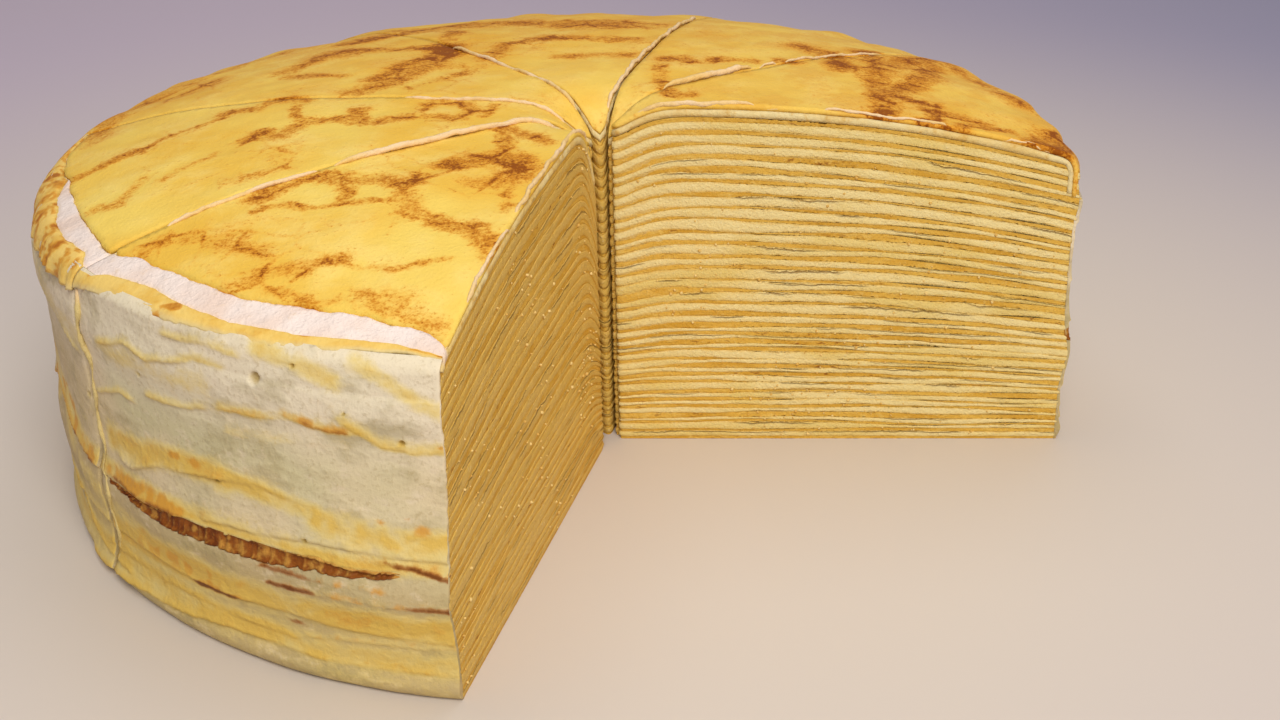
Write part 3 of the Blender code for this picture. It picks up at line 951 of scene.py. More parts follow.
def browning(spots):
    """How browned the crepe is at flat spots: near a streak, with its edges pulled about."""
    flat = (spots - AXIS) / MM
    place = lifted(flat)
    for pull, scale, *seeds in BROWNING_PULLS:
        flat = flat + pull * np.column_stack([grain(place, scale, seed) for seed in seeds])
    browned = np.zeros(len(flat))
    for width, strength, course in STREAKS:
        for start, end in zip(course, course[1:]):
            start, way = np.array(start), np.subtract(end, start)
            share = np.clip((flat - start) @ way / (way @ way), 0.0, 1.0)
            gap = np.hypot(*(flat - start - share[:, None] * way).T)
            browned = np.maximum(browned, strength * bell(gap, width))
    return browned


def at_rim(spots):
    """Goes from 0 on the dome to 1 at the rim, and on over the fold."""
    return smooth(0.094, 0.112, np.hypot(*(spots - AXIS).T))


last_crepe, recipe, shader = food("last_crepe", Roughness=0.48, Specular_IOR_Level=0.08)
spot = recipe.place()
streaks = recipe.value("browned")
rim = recipe.value("rim")
broad = recipe.noise(spot, 26.0, 3.0, 0.55)
cloudy = recipe.noise(spot, 75.0, 4.0, 0.6)
clouds = recipe.noise(spot, 120.0, 3.0, 0.6).ramp(0.40, 0.60)
pull = recipe.vector("SCALE", a=recipe.shift(spot, 150.0, 2.0), by=0.0032)
torn = recipe.vector("ADD", a=spot, b=pull)
kind = {"feature": "DISTANCE_TO_EDGE"}
cells = recipe.node("ShaderNodeTexVoronoi", kind, {"Vector": torn, "Scale": 105.0})
small_cells = recipe.node("ShaderNodeTexVoronoi", kind, {"Vector": torn, "Scale": 330.0})
grains = recipe.noise(spot, 1250.0, 2.0, 0.6)
dots = recipe.noise(spot, 2600.0, 1.0, 0.5)
colour = recipe.mottled(broad, 0.36, 0.64, (243, 210, 100), (237, 190, 74))
colour = recipe.coats(colour, (cloudy, 0.42, 0.72, 0.7, (248, 220, 124)))
# Painted shade: the back and the right of the top are painted a darker, deeper orange and a little more
# browned.
back_in_shade = recipe.part(spot, 1).ramp(-0.03, 0.05).high(recipe.part(spot, 0).ramp(0.0, 0.06))
colour = recipe.blend(back_in_shade * (0.25 + clouds * 0.35), colour, paint(226, 166, 58))
web = cells.ramp(0.0, 0.11, 1.0, 0.0)
small_web = small_cells.ramp(0.0, 0.22, 1.0, 0.0)
wide = (streaks * 1.8).low(1.0)
field = streaks * 0.54 + wide * (web * 0.26 + small_web * 0.14 + clouds * 0.22)
field = field + web * broad.ramp(0.44, 0.60) * 0.20 + rim * 0.12 + back_in_shade * 0.10
field = field + (cloudy - 0.5) * 0.8
soft = field + (grains - 0.5) * 0.5
field = field + (grains - 0.5) * 1.4 + (dots - 0.5) * 0.9
colour = recipe.coats(
    colour,
    (soft, 0.06, 0.52, 0.7, (232, 168, 58)),
    (field, 0.30, 0.80, 0.85, (202, 126, 24)),
    (field, 0.72, 1.20, 0.90, (138, 68, 4)),
)
feed(recipe, shader, colour, height=cloudy + grains * 0.2 + field * 0.1, depth=0.0005)

for plan in SLICES:
    def edge(turn, plan=plan):
        return crepe_edge_at(plan, turn)

    def over(spots, plan=plan):
        return lumpy(fold(plan, spots, 0.0), CREPE_LUMPS)

    def under(spots, plan=plan):
        return fold(plan, spots, CREPE_THICKNESS)

    outline, ends, lower = sheet_spots(plan, edge, SHEET_STEP)
    upper = spread(plan, edge, ends, SHEET_STEP)
    found = {"browned": browning, "rim": at_rim}
    name = f"{plan.name}_last_crepe"
    sheet = closed_sheet(name, outline, upper, lower, over, under, CREPE_SWELL, last_crepe, found)
    finish(sheet, "browned_crepe", f"{plan.name}_top_crepe")


# ---------------------------------------------------------------------------------------------
# The cream under the last crepe: whipped cream that a palette knife spread over the stack. It
# shows as a pale line at the cuts, and as a smooth pinkish ring where the crepe ends short.
# ---------------------------------------------------------------------------------------------
RING_DEPTH = 0.0003
RING_END = 0.0030
RING_STEP = 0.0008
RING_TURNS = 220
# The cream's spots lie coarsely this far out and finely from there on
COARSE_INSIDE = 0.0955
RING_INSIDE = 0.0975
NARROWEST_RING = 0.0002
# How far past the crepe's end the ring's cream comes up, and the rows of spots that show it
RING_RISE = (0.00006, 0.00030)
RING_ROWS = (0.00004, 0.00032)
# How the ring goes down under the crepe below: from and to, past where that starts, and how far
RING_DIP = (-0.0004, 0.0010, 0.0006)
CREAM_SWELL = 0.0004
CREAM_LUMPS = ((0.00025, 120.0, 6.0), (0.00012, 420.0, 9.0))
# Where the crepe below starts to show in front: azimuth in degrees and distance in mm
RING_OUTSIDE = (
    (160, 106), (186, 104.4), (188, 103), (193, 105), (196, 104.6), (200, 106.1), (206, 105.9),
    (211, 104.9), (213, 106.6), (214, 107.4), (216.5, 107.4), (218, 105.8), (222, 104.5), (225, 103.7),
    (228, 104.6), (237, 105.9), (244, 105.5), (250, 104.8), (254, 105.1), (257, 106.6), (260, 108),
)
FOLDED_CREAM_LENGTH = SKIRT_LENGTH - 0.0006


def ring_outside(plan, turn):
    """How far out the crepe below starts to show, at azimuths in radians."""
    open_ring = read_off(RING_OUTSIDE, turn) + ragged(turn, 0.0004, 13.0)
    return np.maximum(open_ring, crepe_edge_at(plan, turn) + NARROWEST_RING)


ring_cream, recipe, shader = food("ring_cream", Roughness=0.38, Specular_IOR_Level=0.15)
spot = recipe.place()
broad = recipe.noise(spot, 90.0, 2.0, 0.5)
spread_marks = recipe.noise(spot, 420.0, 3.0, 0.6)
fine = recipe.noise(spot, 1500.0, 2.0, 0.6)
colour = recipe.mottled(broad, 0.35, 0.65, (244, 228, 216), (238, 214, 196))
colour = recipe.coats(colour, (spread_marks, 0.60, 0.80, 0.5, (232, 198, 150)))
covered = recipe.mottled(broad, 0.35, 0.65, (232, 214, 156), (226, 196, 122))
covered = recipe.blend(spread_marks.ramp(0.50, 0.75), covered, paint(214, 174, 92))
colour = recipe.blend(recipe.value("open"), covered, colour)
feed(recipe, shader, colour, height=spread_marks + fine * 0.4, depth=0.0005)

for plan in SLICES:
    def edge(turn, plan=plan):
        return np.full_like(turn, FOLD_START + (FOLDED_CREAM_LENGTH if plan.folded else RING_END))

    def ring_depth(spots, plan=plan):
        """Depth of the cream's upper side: under the crepe, up in the ring, and under the drape."""
        if plan.folded:
            return np.full(len(spots), CREAM_TOP)
        off = spots - AXIS
        far = np.hypot(*off.T)
        middle = math.radians(sum(plan.cuts) / 2)
        turn = half_turn(azimuth(off) - middle) + middle
        up = smooth(*RING_RISE, far - crepe_edge_at(plan, turn))
        start = ring_outside(plan, turn)
        down = smooth(start + RING_DIP[0], start + RING_DIP[1], far)
        return CREAM_TOP + (RING_DEPTH - CREAM_TOP) * up + RING_DIP[2] * down

    def over(spots, plan=plan):
        return lumpy(fold(plan, spots, ring_depth(spots)), CREAM_LUMPS)

    def under(spots, plan=plan):
        return fold(plan, spots, CREAM_BOTTOM - RING_DIP[2] * at_rim(spots))

    outline, ends, lower = sheet_spots(plan, edge, SHEET_STEP)
    if plan.folded:
        upper = lower
    else:
        turns = np.linspace(*ends, RING_TURNS)[2:-2]
        far = crepe_edge_at(plan, turns)
        beside = [AXIS + (far + past)[:, None] * ways_at(turns) for past in RING_ROWS]
        covered = spread(plan, lambda turn: np.full_like(turn, COARSE_INSIDE), ends, UNDER_STEP)
        bare = spread(plan, edge, ends, RING_STEP, inner=RING_INSIDE)
        upper = np.concatenate((covered, bare, *beside))

    def lies_open(spots, plan=plan):
        """1 where the cream is bare, and 0 where it is under the crepe."""
        return smooth(CREAM_TOP, RING_DEPTH, ring_depth(spots))

    name, found = f"{plan.name}_cream", {"open": lies_open}
    layer = closed_sheet(name, outline, upper, lower, over, under, CREAM_SWELL, ring_cream, found)
    finish(layer, "top_cream", f"{plan.name}_top_cream")


# ---------------------------------------------------------------------------------------------
# The cream coat on the wall: whipped cream wiped round the stack. The rims of some crepes hang
# out through it as yellow lips, and one browned crepe is folded into a dark pleated hem.
# ---------------------------------------------------------------------------------------------
COAT_TOPS = {True: 0.0572, False: 0.0668}
COAT_STEP = 0.00045
ROW_STEP = 0.00040
COAT_END_STEPS = 6
COAT_INNER_STEPS = 48
END_BULGE = 0.00008
END_ROUGHNESS = 0.0002
COAT_UNDER_RIM = {True: 0.0008, False: 0.0002}
SKIN_TAPER = 0.0060
LEAST_SKIN = 0.0002
GROOVE_REACH = 0.0011
# The front of the wall, in degrees. Its courses are turned over and over round the rest.
FRONT = (198.0, 260.0)
# Lips of crepe: relief and how far they swell upwards in mm, yellow, orange, brown, and their
# course as azimuth in degrees and height in mm
LIPS = (
    (0.5, 0.7, 0.9, 0.0, 0.0, ((229, 63.0), (235, 63.8), (240, 63.2))),
    (0.7, 0.9, 0.9, 0.2, 0.0, ((218, 55), (224, 58.5), (227, 57.3), (231, 58.8), (234, 60.6),
                               (238, 60.3))),
    (0.6, 0.8, 0.9, 0.0, 0.0, ((215, 43), (220.5, 46.4), (223.5, 45.9))),
    (0.6, 0.8, 0.9, 0.0, 0.0, ((225, 48.6), (232, 49.8), (235, 51.5))),
    (0.4, 1.6, 1.1, 0.5, 0.0, ((235.5, 51.6), (238, 52.4), (240, 52.4), (245, 53.6))),
    (0.4, 1.2, 1.0, 1.0, 0.5, ((243.5, 53.8), (248, 52.4), (251, 52.6))),
    (0.3, 2.2, 1.2, 0.2, 0.0, ((249, 55.4), (253, 50.6), (256, 49.8), (260, 50.2))),
    (0.2, 1.4, 0.8, 0.0, 0.0, ((236, 47.4), (241, 47.8), (245, 49.2))),
    (0.6, 1.0, 0.7, 0.1, 0.0, ((198, 55), (206, 52), (213, 49))),
    (0.8, 1.4, 0.2, 0.0, 0.0, ((218, 31.5), (221, 30.9), (226, 34.8), (229, 36), (236, 38.2))),
    (0.3, 1.2, 0.8, 0.1, 0.0, ((234, 37.6), (240, 38.8), (246, 37.2))),
    (0.6, 4.0, 0.3, 0.0, 0.0, ((232, 28.4), (241, 29.8), (246, 31), (252, 30.6), (260, 30.2))),
    (0.8, 2.6, 1.0, 1.5, 0.7, ((198, 34), (203, 29.6), (206, 27.0), (212, 25.6), (222, 25.9),
                               (230, 27.2))),
    (0.3, 0.9, 0.1, 0.5, 1.0, ((252.5, 29.4), (256, 28.3), (260, 25.8))),
    (0.2, 1.0, 0.2, 0.7, 1.3, ((240, 20.3), (245, 20.6), (251, 21), (260, 20.6))),
    (0.2, 0.9, 0.1, 0.7, 1.3, ((238, 23.2), (243, 23.4), (251, 23.8), (254, 23.2))),
    (0.4, 0.8, 0.2, 0.8, 1.6, ((229, 12.7), (234, 13.1), (238, 13.8))),
    (0.3, 0.8, 0.2, 0.5, 1.3, ((240.5, 12.6), (244, 11.9))),
    (0.5, 3.0, 0.5, 0.0, 0.0, ((198, 13), (229, 13.2), (242, 14.2), (260, 12.7))),
    (0.3, 1.0, 0.4, 0.6, 0.2, ((243, 9.7), (250, 11.2), (260, 11.7))),
    (0.3, 1.0, 0.8, 0.0, 0.0, ((212, 8), (230, 9), (243, 8.6))),
    (0.8, 1.4, 1.1, 0.2, 0.0, ((207, 1.6), (214, 2.4), (220, 3.4), (226, 4), (234, 5.8), (241, 6),
                               (246, 5.2))),
    (0.3, 1.0, 0.6, 0.3, 0.1, ((243, 5.2), (260, 5.8))),
    (0.6, 1.2, 0.9, 0.1, 0.0, ((200, 17), (205, 13), (207, 8), (211, 5.6), (218, 4.8))),
)
# Where a crepe shows through thin cream: half height in mm, yellow, orange, and course
STAINS = (
    (2.8, 1.5, 0.4, ((216, 34), (223, 35.2), (227, 37.4), (234, 38.6), (237, 37.6))),
    (1.7, 1.4, 0.0, ((236, 38), (241, 37.2), (246, 35.8), (248, 35))),
    (2.4, 1.7, 0.4, ((245, 35.2), (250, 34.2), (254, 33.8), (260, 33.4))),
    (1.8, 1.1, 0.0, ((240, 66), (246, 63.6), (250, 61.5))),
    (1.8, 1.1, 0.0, ((250, 66), (254, 63), (257, 59), (260, 57))),
    (2.6, 1.0, 0.4, ((198, 31), (205, 23), (214, 19), (224, 17), (234, 17))),
    (2.9, 1.3, 0.5, ((214, 13), (229, 14.8), (238, 16), (248, 16.3), (260, 16.3))),
    (2.2, 0.7, 0.2, ((198, 6.5), (230, 7.6), (260, 8.4))),
    (1.8, 0.8, 0.4, ((198, 33), (206, 28), (214, 27.6), (232, 28.8), (241, 28.6), (260, 28.6))),
    (2.6, 0.6, 0.1, ((198, 58), (214, 53), (224, 55), (236, 57))),
    (2.2, 1.0, 1.8, ((198, 38.5), (202, 34.5), (206, 31), (209, 28.5))),
)
# Blots of browned crepe, and holes: azimuth in degrees, height and size in mm, and depth in mm
BLOTS = (
    (252.5, 36.4, 0.9), (256.5, 35.6, 1.6), (255, 37.4, 0.7), (246, 53.4, 1.0), (229, 38.6, 1.5),
    (232, 39, 1.2), (239, 53.4, 0.8), (258.5, 51.2, 0.6),
)
HOLES = (
    (241, 60, 1.1, 1.0), (245, 63.4, 0.5, 0.6), (255, 51.6, 0.6, 0.7), (235, 37.3, 0.5, 0.6),
    (245, 30.6, 0.5, 0.6), (250, 56.4, 0.4, 0.5), (225, 52.6, 0.6, 0.5), (213, 40.5, 0.6, 0.6),
)
HEM_TOP = (
    (198, 33.5), (203, 29.2), (206, 26.5), (212, 25), (221, 24.9), (225, 25.4), (229, 26.6),
    (233, 26.9), (240, 27.2), (246, 27.7), (250, 26.8), (253, 27.2), (260, 27),
)
HEM_LOW = (
    (198, 33.3), (206, 26.4), (209, 25.6), (212, 24.6), (221, 24), (224, 23.5), (228, 23.3),
    (231, 23.9), (236, 24.2), (240, 24.3), (245, 25.3), (249, 25.6), (253, 26.2), (256, 27.1),
    (260, 27),
)
HEM_DEPTH = 0.5


def front_azimuth(turn):
    """The azimuth on the front of the wall whose courses stand at each azimuth round the cake."""
    wide = FRONT[1] - FRONT[0]
    past = (np.degrees(turn) - FRONT[0]) % (2 * wide)
    return FRONT[0] + np.minimum(past, 2 * wide - past)


def course_height(course, turn):
    """Height of a course round the wall, in millimetres; away from the front it drifts."""
    around = lifted(ways_at(turn))
    from_middle = np.abs((np.degrees(turn) - sum(FRONT) / 2 + 180) % 360 - 180)
    off_front = smooth(0.0, 12.0, from_middle - (FRONT[1] - FRONT[0]) / 2)
    drift = 1.2 * off_front * grain(around, 2.1, course[0][1])
    wave = 0.30 * grain(around, 14.0, course[0][1]) + 0.22 * grain(around, 60.0, course[-1][1])
    return np.interp(front_azimuth(turn), *zip(*course)) + drift + wave


def reaches_to(course, turn):
    """1 where a course runs and 0 past its ends, unless it runs on round the cake."""
    front = front_azimuth(turn)
    start, end = course[0][0], course[-1][0]
    there = np.ones_like(turn)
    if start > FRONT[0]:
        there = there * smooth(start - 0.6, start + 1.4, front)
    if end < FRONT[1]:
        there = there * smooth(end + 0.6, end - 1.4, front)
    return there


def hem_height(front):
    """How tall the pleated hem is at azimuths in degrees on the front of the wall."""
    return np.interp(front, *zip(*HEM_TOP)) - np.interp(front, *zip(*HEM_LOW))


def coat_radius(turn, height):
    """The coat's outer radius before its fine relief, swollen at its hems and its open corner."""
    radius = RADIUS + sum(depth * np.sin(waves * turn + waves) for waves, depth in UNEVENNESS)
    for middle, depth, reach in HEMS:
        radius = radius + depth * bell(height - middle, reach)
    corner, level, swell = OPEN_CORNER
    across, upright = OPEN_CORNER_SPREAD
    return radius + swell * bell(half_turn(turn - corner), across) * bell(height - level, upright)


def skin(turn):
    """How thick the coat is: thin where the knife cut it open."""
    away = [abs(half_turn(turn - plan.bearing(side, RADIUS))) * RADIUS
            for plan in SLICES for side in plan.open_cuts]
    near = np.clip(1 - np.min(away, axis=0) / SKIN_TAPER, 0, 1)
    return COAT_SKIN - (COAT_SKIN - SKIN_AT_OPEN_CUT) * near


def pressed_in(turn):
    """1 at the cuts that are still shut, where the knife pressed the coat in, then falling off."""
    away = [np.abs(half_turn(turn - plan.bearing(0, RADIUS))) for plan in SLICES[1:]]
    return bell(np.min(away, axis=0) * RADIUS, GROOVE_REACH)


def rim_radius(turn, height):
    """The most the coat may reach out so that it stays under the crepes on the rim."""
    bare = np.degrees(turn) > SLICES[4].cuts[0]
    under = np.where(bare, COAT_UNDER_RIM[False], COAT_UNDER_RIM[True])
    start = CENTRE_HEIGHT - (CENTRE_HEIGHT - RIM_HEIGHT) * (FOLD_START / RADIUS) ** DOME_POWER
    level = np.cos(FOLD_TILT) - (start - height) / FOLD_RADIUS
    over = np.sqrt(1 - np.clip(level, 0.0, 0.999) ** 2)
    free = 0.004 * smooth(0.0600, 0.0570, height)
    return FOLD_START + (FOLD_RADIUS - under) * (over - math.sin(FOLD_TILT)) + free


class Coat:
    """The coat at azimuths in radians and heights in metres: its relief in mm and its colouring."""

    def __init__(self, turn, height):
        self.turn = turn
        self.mm = height / MM
        self.front = front_azimuth(turn)
        self.base = coat_radius(turn, height)
        around = np.column_stack((ways_at(turn) * self.base[:, None], height))
        stretched = around * (1.0, 1.0, 1.8)
        self.patches = grain(stretched, 70.0, 3.0)
        self.flecks = grain(around, 420.0, 5.0)
        groove = pressed_in(turn) * (0.6 + 0.4 * self.patches)
        self.relief = 0.50 * grain(around, 42.0, 7.0) + 0.13 * grain(stretched, 150.0, 9.0)
        self.relief += 0.05 * grain(around, 640.0) - 0.7 * groove
        self.relief += 0.9 * bell(self.mm - 2.6, 2.0) - 0.9 * np.clip(1 - self.mm / 1.2, 0, 1) ** 2
        self.yellow = 0.12 + 0.25 * self.patches + 0.35 * smooth(27.0, 12.0, self.mm)
        self.orange = np.zeros_like(height)
        self.brown = np.zeros_like(height)
        self.shade = 1.1 * groove

    def gap_to(self, middle, level, flatness=1.0):
        """How far in mm each spot is from one at an azimuth in degrees and a height in mm."""
        across = (self.front - middle) * math.radians(RADIUS / MM)
        return np.hypot(across, (self.mm - level) * flatness)

    def add_lips(self):
        """Rims of crepes that hang out through the cream, some of them browned."""
        place = lifted(ways_at(self.turn))
        spotty = smooth(-0.25, 0.45, self.flecks + 0.6 * self.patches)
        for number, (swell, above, yolk, tan, toast, course) in enumerate(LIPS):
            gap = self.mm - course_height(course, self.turn)
            there = reaches_to(course, self.turn)
            spots = place + (0, 0, number)
            shown = there * (0.35 + 0.65 * smooth(-0.45, 0.10, grain(spots, 7.0, number)))
            streaked = smooth(-0.25, 0.10, grain(spots, 10.0, 2.0 * number))
            lip = np.where(gap > 0, np.exp(-np.abs(gap) / above), bell(gap, 0.30))
            near = bell(gap, np.where(gap > 0, 0.9 + 0.5 * above, 0.6))
            self.relief += swell * shown * lip
            self.yellow += yolk * shown * near
            self.orange += tan * shown * near * (0.35 + 0.65 * spotty)
            self.brown += toast * there * bell(gap, 0.7) * streaked * (0.8 + 0.5 * spotty)
            self.shade += shown * bell(gap + 0.60, 0.5) * min(0.5, swell)

    def add_stains(self):
        """Crepes that show through thin cream, in soft bands and in small blots."""
        for tall, yolk, tan, course in STAINS:
            gap = (self.mm - course_height(course, self.turn)) / tall
            soft = reaches_to(course, self.turn) * np.exp(-np.abs(gap) ** 2.5)
            soft = soft * smooth(-1.3, 0.3, self.patches + 0.5 * self.flecks)
            self.yellow += yolk * soft
            self.orange += tan * soft * smooth(-0.1, 0.5, self.flecks + self.patches)
        for middle, level, size in BLOTS:
            blot = bell(self.gap_to(middle, level, 1.6), size)
            self.orange += 1.1 * blot * smooth(-0.6, 0.2, self.flecks)
            self.brown += 0.35 * blot * smooth(-0.3, 0.4, self.flecks)

    def add_hem_groove(self):
        """The groove that the pleated hem sits in, with the cream swollen above and below it."""
        top = course_height(HEM_TOP, self.turn)
        tall = hem_height(self.front)
        over_top = self.mm - top
        over_low = over_top + tall
        inside = smooth(0.0, 0.35, -over_top) * smooth(0.0, 0.35, over_low) * smooth(0.1, 1.0, tall)
        there = smooth(0.2, 1.5, tall)
        self.relief += 0.5 * there * np.where(over_top > 0, np.exp(-np.abs(over_top) / 3.0), 0.0)
        self.relief += 0.2 * there * np.where(over_low < 0, np.exp(-np.abs(over_low) / 1.6), 0.0)
        self.relief -= inside * HEM_DEPTH
        self.yellow += 0.8 * there * bell(over_top - 0.8, 0.9)
        self.brown += inside * 0.9

    def add_holes(self):
        """Small holes that air left in the cream, each with a raised lip."""
        for middle, level, size, depth in HOLES:
            off = self.gap_to(middle, level) / size
            pit = np.exp(-(off**4))
            self.relief += 0.25 * bell(off - 1.4, 0.4) - depth * pit
            self.shade += 1.2 * pit
            self.yellow += 0.8 * bell(off, 1.0)


def coat_surface(turn, height):
    """Radius of the coat at azimuths in radians and heights in metres, and what colours it."""
    coat = Coat(turn, height)
    coat.add_lips()
    coat.add_stains()
    coat.add_hem_groove()
    coat.add_holes()
    radius = np.maximum(coat.base + coat.relief * MM, coat.base - skin(turn) + LEAST_SKIN)
    found = {"yellow": coat.yellow, "orange": coat.orange, "brown": coat.brown, "shade": coat.shade}
    return np.minimum(radius, rim_radius(turn, height)), found


side_cream, recipe, shader = food("side_cream", Roughness=0.5, Specular_IOR_Level=0.15)
spot = recipe.place()
drawn = recipe.place(stretch=(1.0, 1.0, 1.8))
yellow = recipe.value("yellow")
orange = recipe.value("orange")
brown = recipe.value("brown")
shade = recipe.value("shade")
broad = recipe.noise(spot, 26.0, 2.0, 0.5)
cloudy = recipe.noise(drawn, 80.0, 3.0, 0.6)
patchy = recipe.noise(drawn, 240.0, 3.0, 0.65)
fine = recipe.noise(spot, 1100.0, 3.0, 0.65)
pits = recipe.noise(spot, 520.0, 2.0, 0.5)
east = recipe.part(spot, 0)
high = recipe.part(spot, 2)
colour = recipe.mottled(broad, 0.38, 0.62, (224, 205, 164), (207, 196, 150))
# The coat is painted darker towards the bottom and lighter near the top; painted shade darkens its left
# side.
colour = recipe.coats(
    colour,
    (high, 0.034, 0.018, 0.75, (182, 158, 102)),
    (east, -0.080, -0.104, 0.5, (184, 154, 94)),
    (high, 0.042, 0.056, 0.75, (238, 224, 194)),
    (cloudy, 0.46, 0.72, 0.6, (164, 148, 100)),
    (patchy, 0.52, 0.74, 0.5, (232, 214, 184)),
    (fine, 0.50, 0.74, 0.35, (164, 140, 92)),
)
yolky = yellow + (patchy - 0.5) * 0.9 + (cloudy - 0.5) * 0.5 + (fine - 0.5) * 0.4
colour = recipe.coats(
    colour,
    (yolky, 0.15, 1.00, 0.75, (232, 206, 122)),
    (yolky, 0.75, 1.60, 0.8, (222, 182, 78)),
)
tanned = orange + (fine - 0.5) * 0.7 + (patchy - 0.5) * 0.4
colour = recipe.coats(colour, (tanned, 0.15, 0.95, 0.8, (214, 150, 50)))
toasted = brown + (fine - 0.5) * 0.7 + (patchy - 0.5) * 0.5
colour = recipe.coats(
    colour,
    (toasted, 0.25, 0.85, 0.8, (160, 96, 38)),
    (toasted, 0.70, 1.20, 0.8, (108, 54, 16)),
    (shade, 0.2, 1.2, 0.6, (146, 116, 56)),
)
feed(recipe, shader, colour, height=fine * 0.3 + pits * cloudy.ramp(0.40, 0.60) * 0.5, depth=0.0006)

for plan in SLICES:
    rows = round(COAT_TOPS[plan.folded] / ROW_STEP) + 1
    heights = np.linspace(0.0, COAT_TOPS[plan.folded], rows)
    upright = heights[:, None, None]
    turns = plan.arc(RADIUS, COAT_STEP)
    radius, found = coat_surface(*(part.ravel() for part in np.meshgrid(turns, heights)))
    radius = radius.reshape(rows, -1)
    outer = AXIS + radius[:, :, None] * ways_at(turns)
    inner_turns = np.linspace(turns[-1], turns[0], COAT_INNER_STEPS)
    turn, height = (part.ravel() for part in np.meshgrid(inner_turns, heights))
    behind = (coat_radius(turn, height) - skin(turn)).reshape(rows, -1)
    picked = np.linspace(0, len(turns) - 1, COAT_INNER_STEPS).astype(int)
    behind = np.minimum(behind, radius[:, ::-1][:, picked] - LEAST_SKIN)
    inner = AXIS + behind[:, :, None] * ways_at(inner_turns)
    faces = []
    for side, column in ((0, 0), (1, -1)):
        _, _, inward = plan.cut(side)
        behind_it = -1 - column
        outer[:, column] = far_end = plan.spots_at(side, radius[:, column])
        inner[:, behind_it] = near_end = plan.spots_at(side, behind[:, behind_it])
        shares = np.linspace(0.0, 1.0, COAT_END_STEPS + 2)[1:-1, None]
        across = far_end[:, None] * (1 - shares) + near_end[:, None] * shares
        deep = np.concatenate((across, np.repeat(upright, len(shares), 1)), 2)
        rough = grain(deep.reshape(-1, 3), 600.0).reshape(rows, -1, 1)
        bulge = END_BULGE * np.sin(shares * math.pi) + END_ROUGHNESS * rough
        faces.append(across - inward * bulge * (1.0 if side in plan.open_cuts else 0.4))
    rings = np.concatenate((outer, faces[1], inner, faces[0][:, ::-1]), 1)
    rings = np.concatenate((rings, np.repeat(upright, rings.shape[1], 1)), 2)
    rest = np.zeros((rows, rings.shape[1] - len(turns)))
    for key, part in found.items():
        found[key] = np.concatenate((part.reshape(rows, -1), rest), 1).ravel()
    coat = closed_rings(f"{plan.name}_coat", rings, [side_cream], found)
    finish(coat, "side_cream", f"{plan.name}_side_cream")


# ---------------------------------------------------------------------------------------------
# The pleated hem: the browned edge of one crepe that the cream round the cake leaves bare. It is
# thin and gathered in small pleats, with its lower edge scalloped.
# ---------------------------------------------------------------------------------------------
HEM_ROWS = 10
HEM_PLEATS = 300
HEM_STEP = 0.00035
HEM_THICKNESS = 0.0005

hem_crepe, recipe, shader = food("hem_crepe", Roughness=0.5, Specular_IOR_Level=0.15)
spot = recipe.place()
crest = recipe.value("crest")
golden = recipe.value("golden")
blotchy = recipe.noise(spot, 300.0, 2.0, 0.6)
patchy = recipe.noise(spot, 420.0, 3.0, 0.65)
fine = recipe.noise(spot, 1300.0, 3.0, 0.65)
colour = recipe.mottled(patchy, 0.40, 0.62, (146, 82, 26), (112, 54, 14))
lit = crest * 0.30 + 0.1 + (blotchy - 0.5) * 2.6 + (patchy - 0.5) * 1.6 + (fine - 0.5) * 0.8
colour = recipe.coats(colour, (lit, 0.10, 0.85, 0.85, (202, 146, 62)))
yolky = golden + (patchy - 0.5) * 0.9
colour = recipe.coats(colour, (yolky, 0.30, 1.0, 0.8, (222, 172, 84)))
feed(recipe, shader, colour, height=patchy + fine * 0.5, depth=0.0004)


def round_axis(turn, far, level):
    """Spots at azimuths in radians, distances from the cake's axis and heights."""
    return np.stack((AXIS[0] + far * np.cos(turn), AXIS[1] + far * np.sin(turn), level), -1)


def closed_grid(name, upper, lower, material, values):
    """A closed thin piece between two grids of spots with the same rows and columns."""
    size = upper.shape[0] * upper.shape[1]
    spot = np.arange(size).reshape(upper.shape[:2])
    corners = np.stack((spot[:-1, :-1], spot[:-1, 1:], spot[1:, 1:], spot[1:, :-1]), -1).reshape(-1, 4)
    faces = corners.tolist() + (corners[:, ::-1] + size).tolist()
    border = np.concatenate((spot[0, :-1], spot[:-1, -1], spot[-1, :0:-1], spot[:0:-1, 0]))
    after = np.roll(border, -1)
    faces += np.column_stack((border + size, after + size, after, border)).tolist()
    spots = np.concatenate((upper.reshape(-1, 3), lower.reshape(-1, 3)))
    found = {key: np.tile(np.ravel(numbers), 2) for key, numbers in values.items()}
    return piece_from(name, spots.tolist(), faces, [material], found)


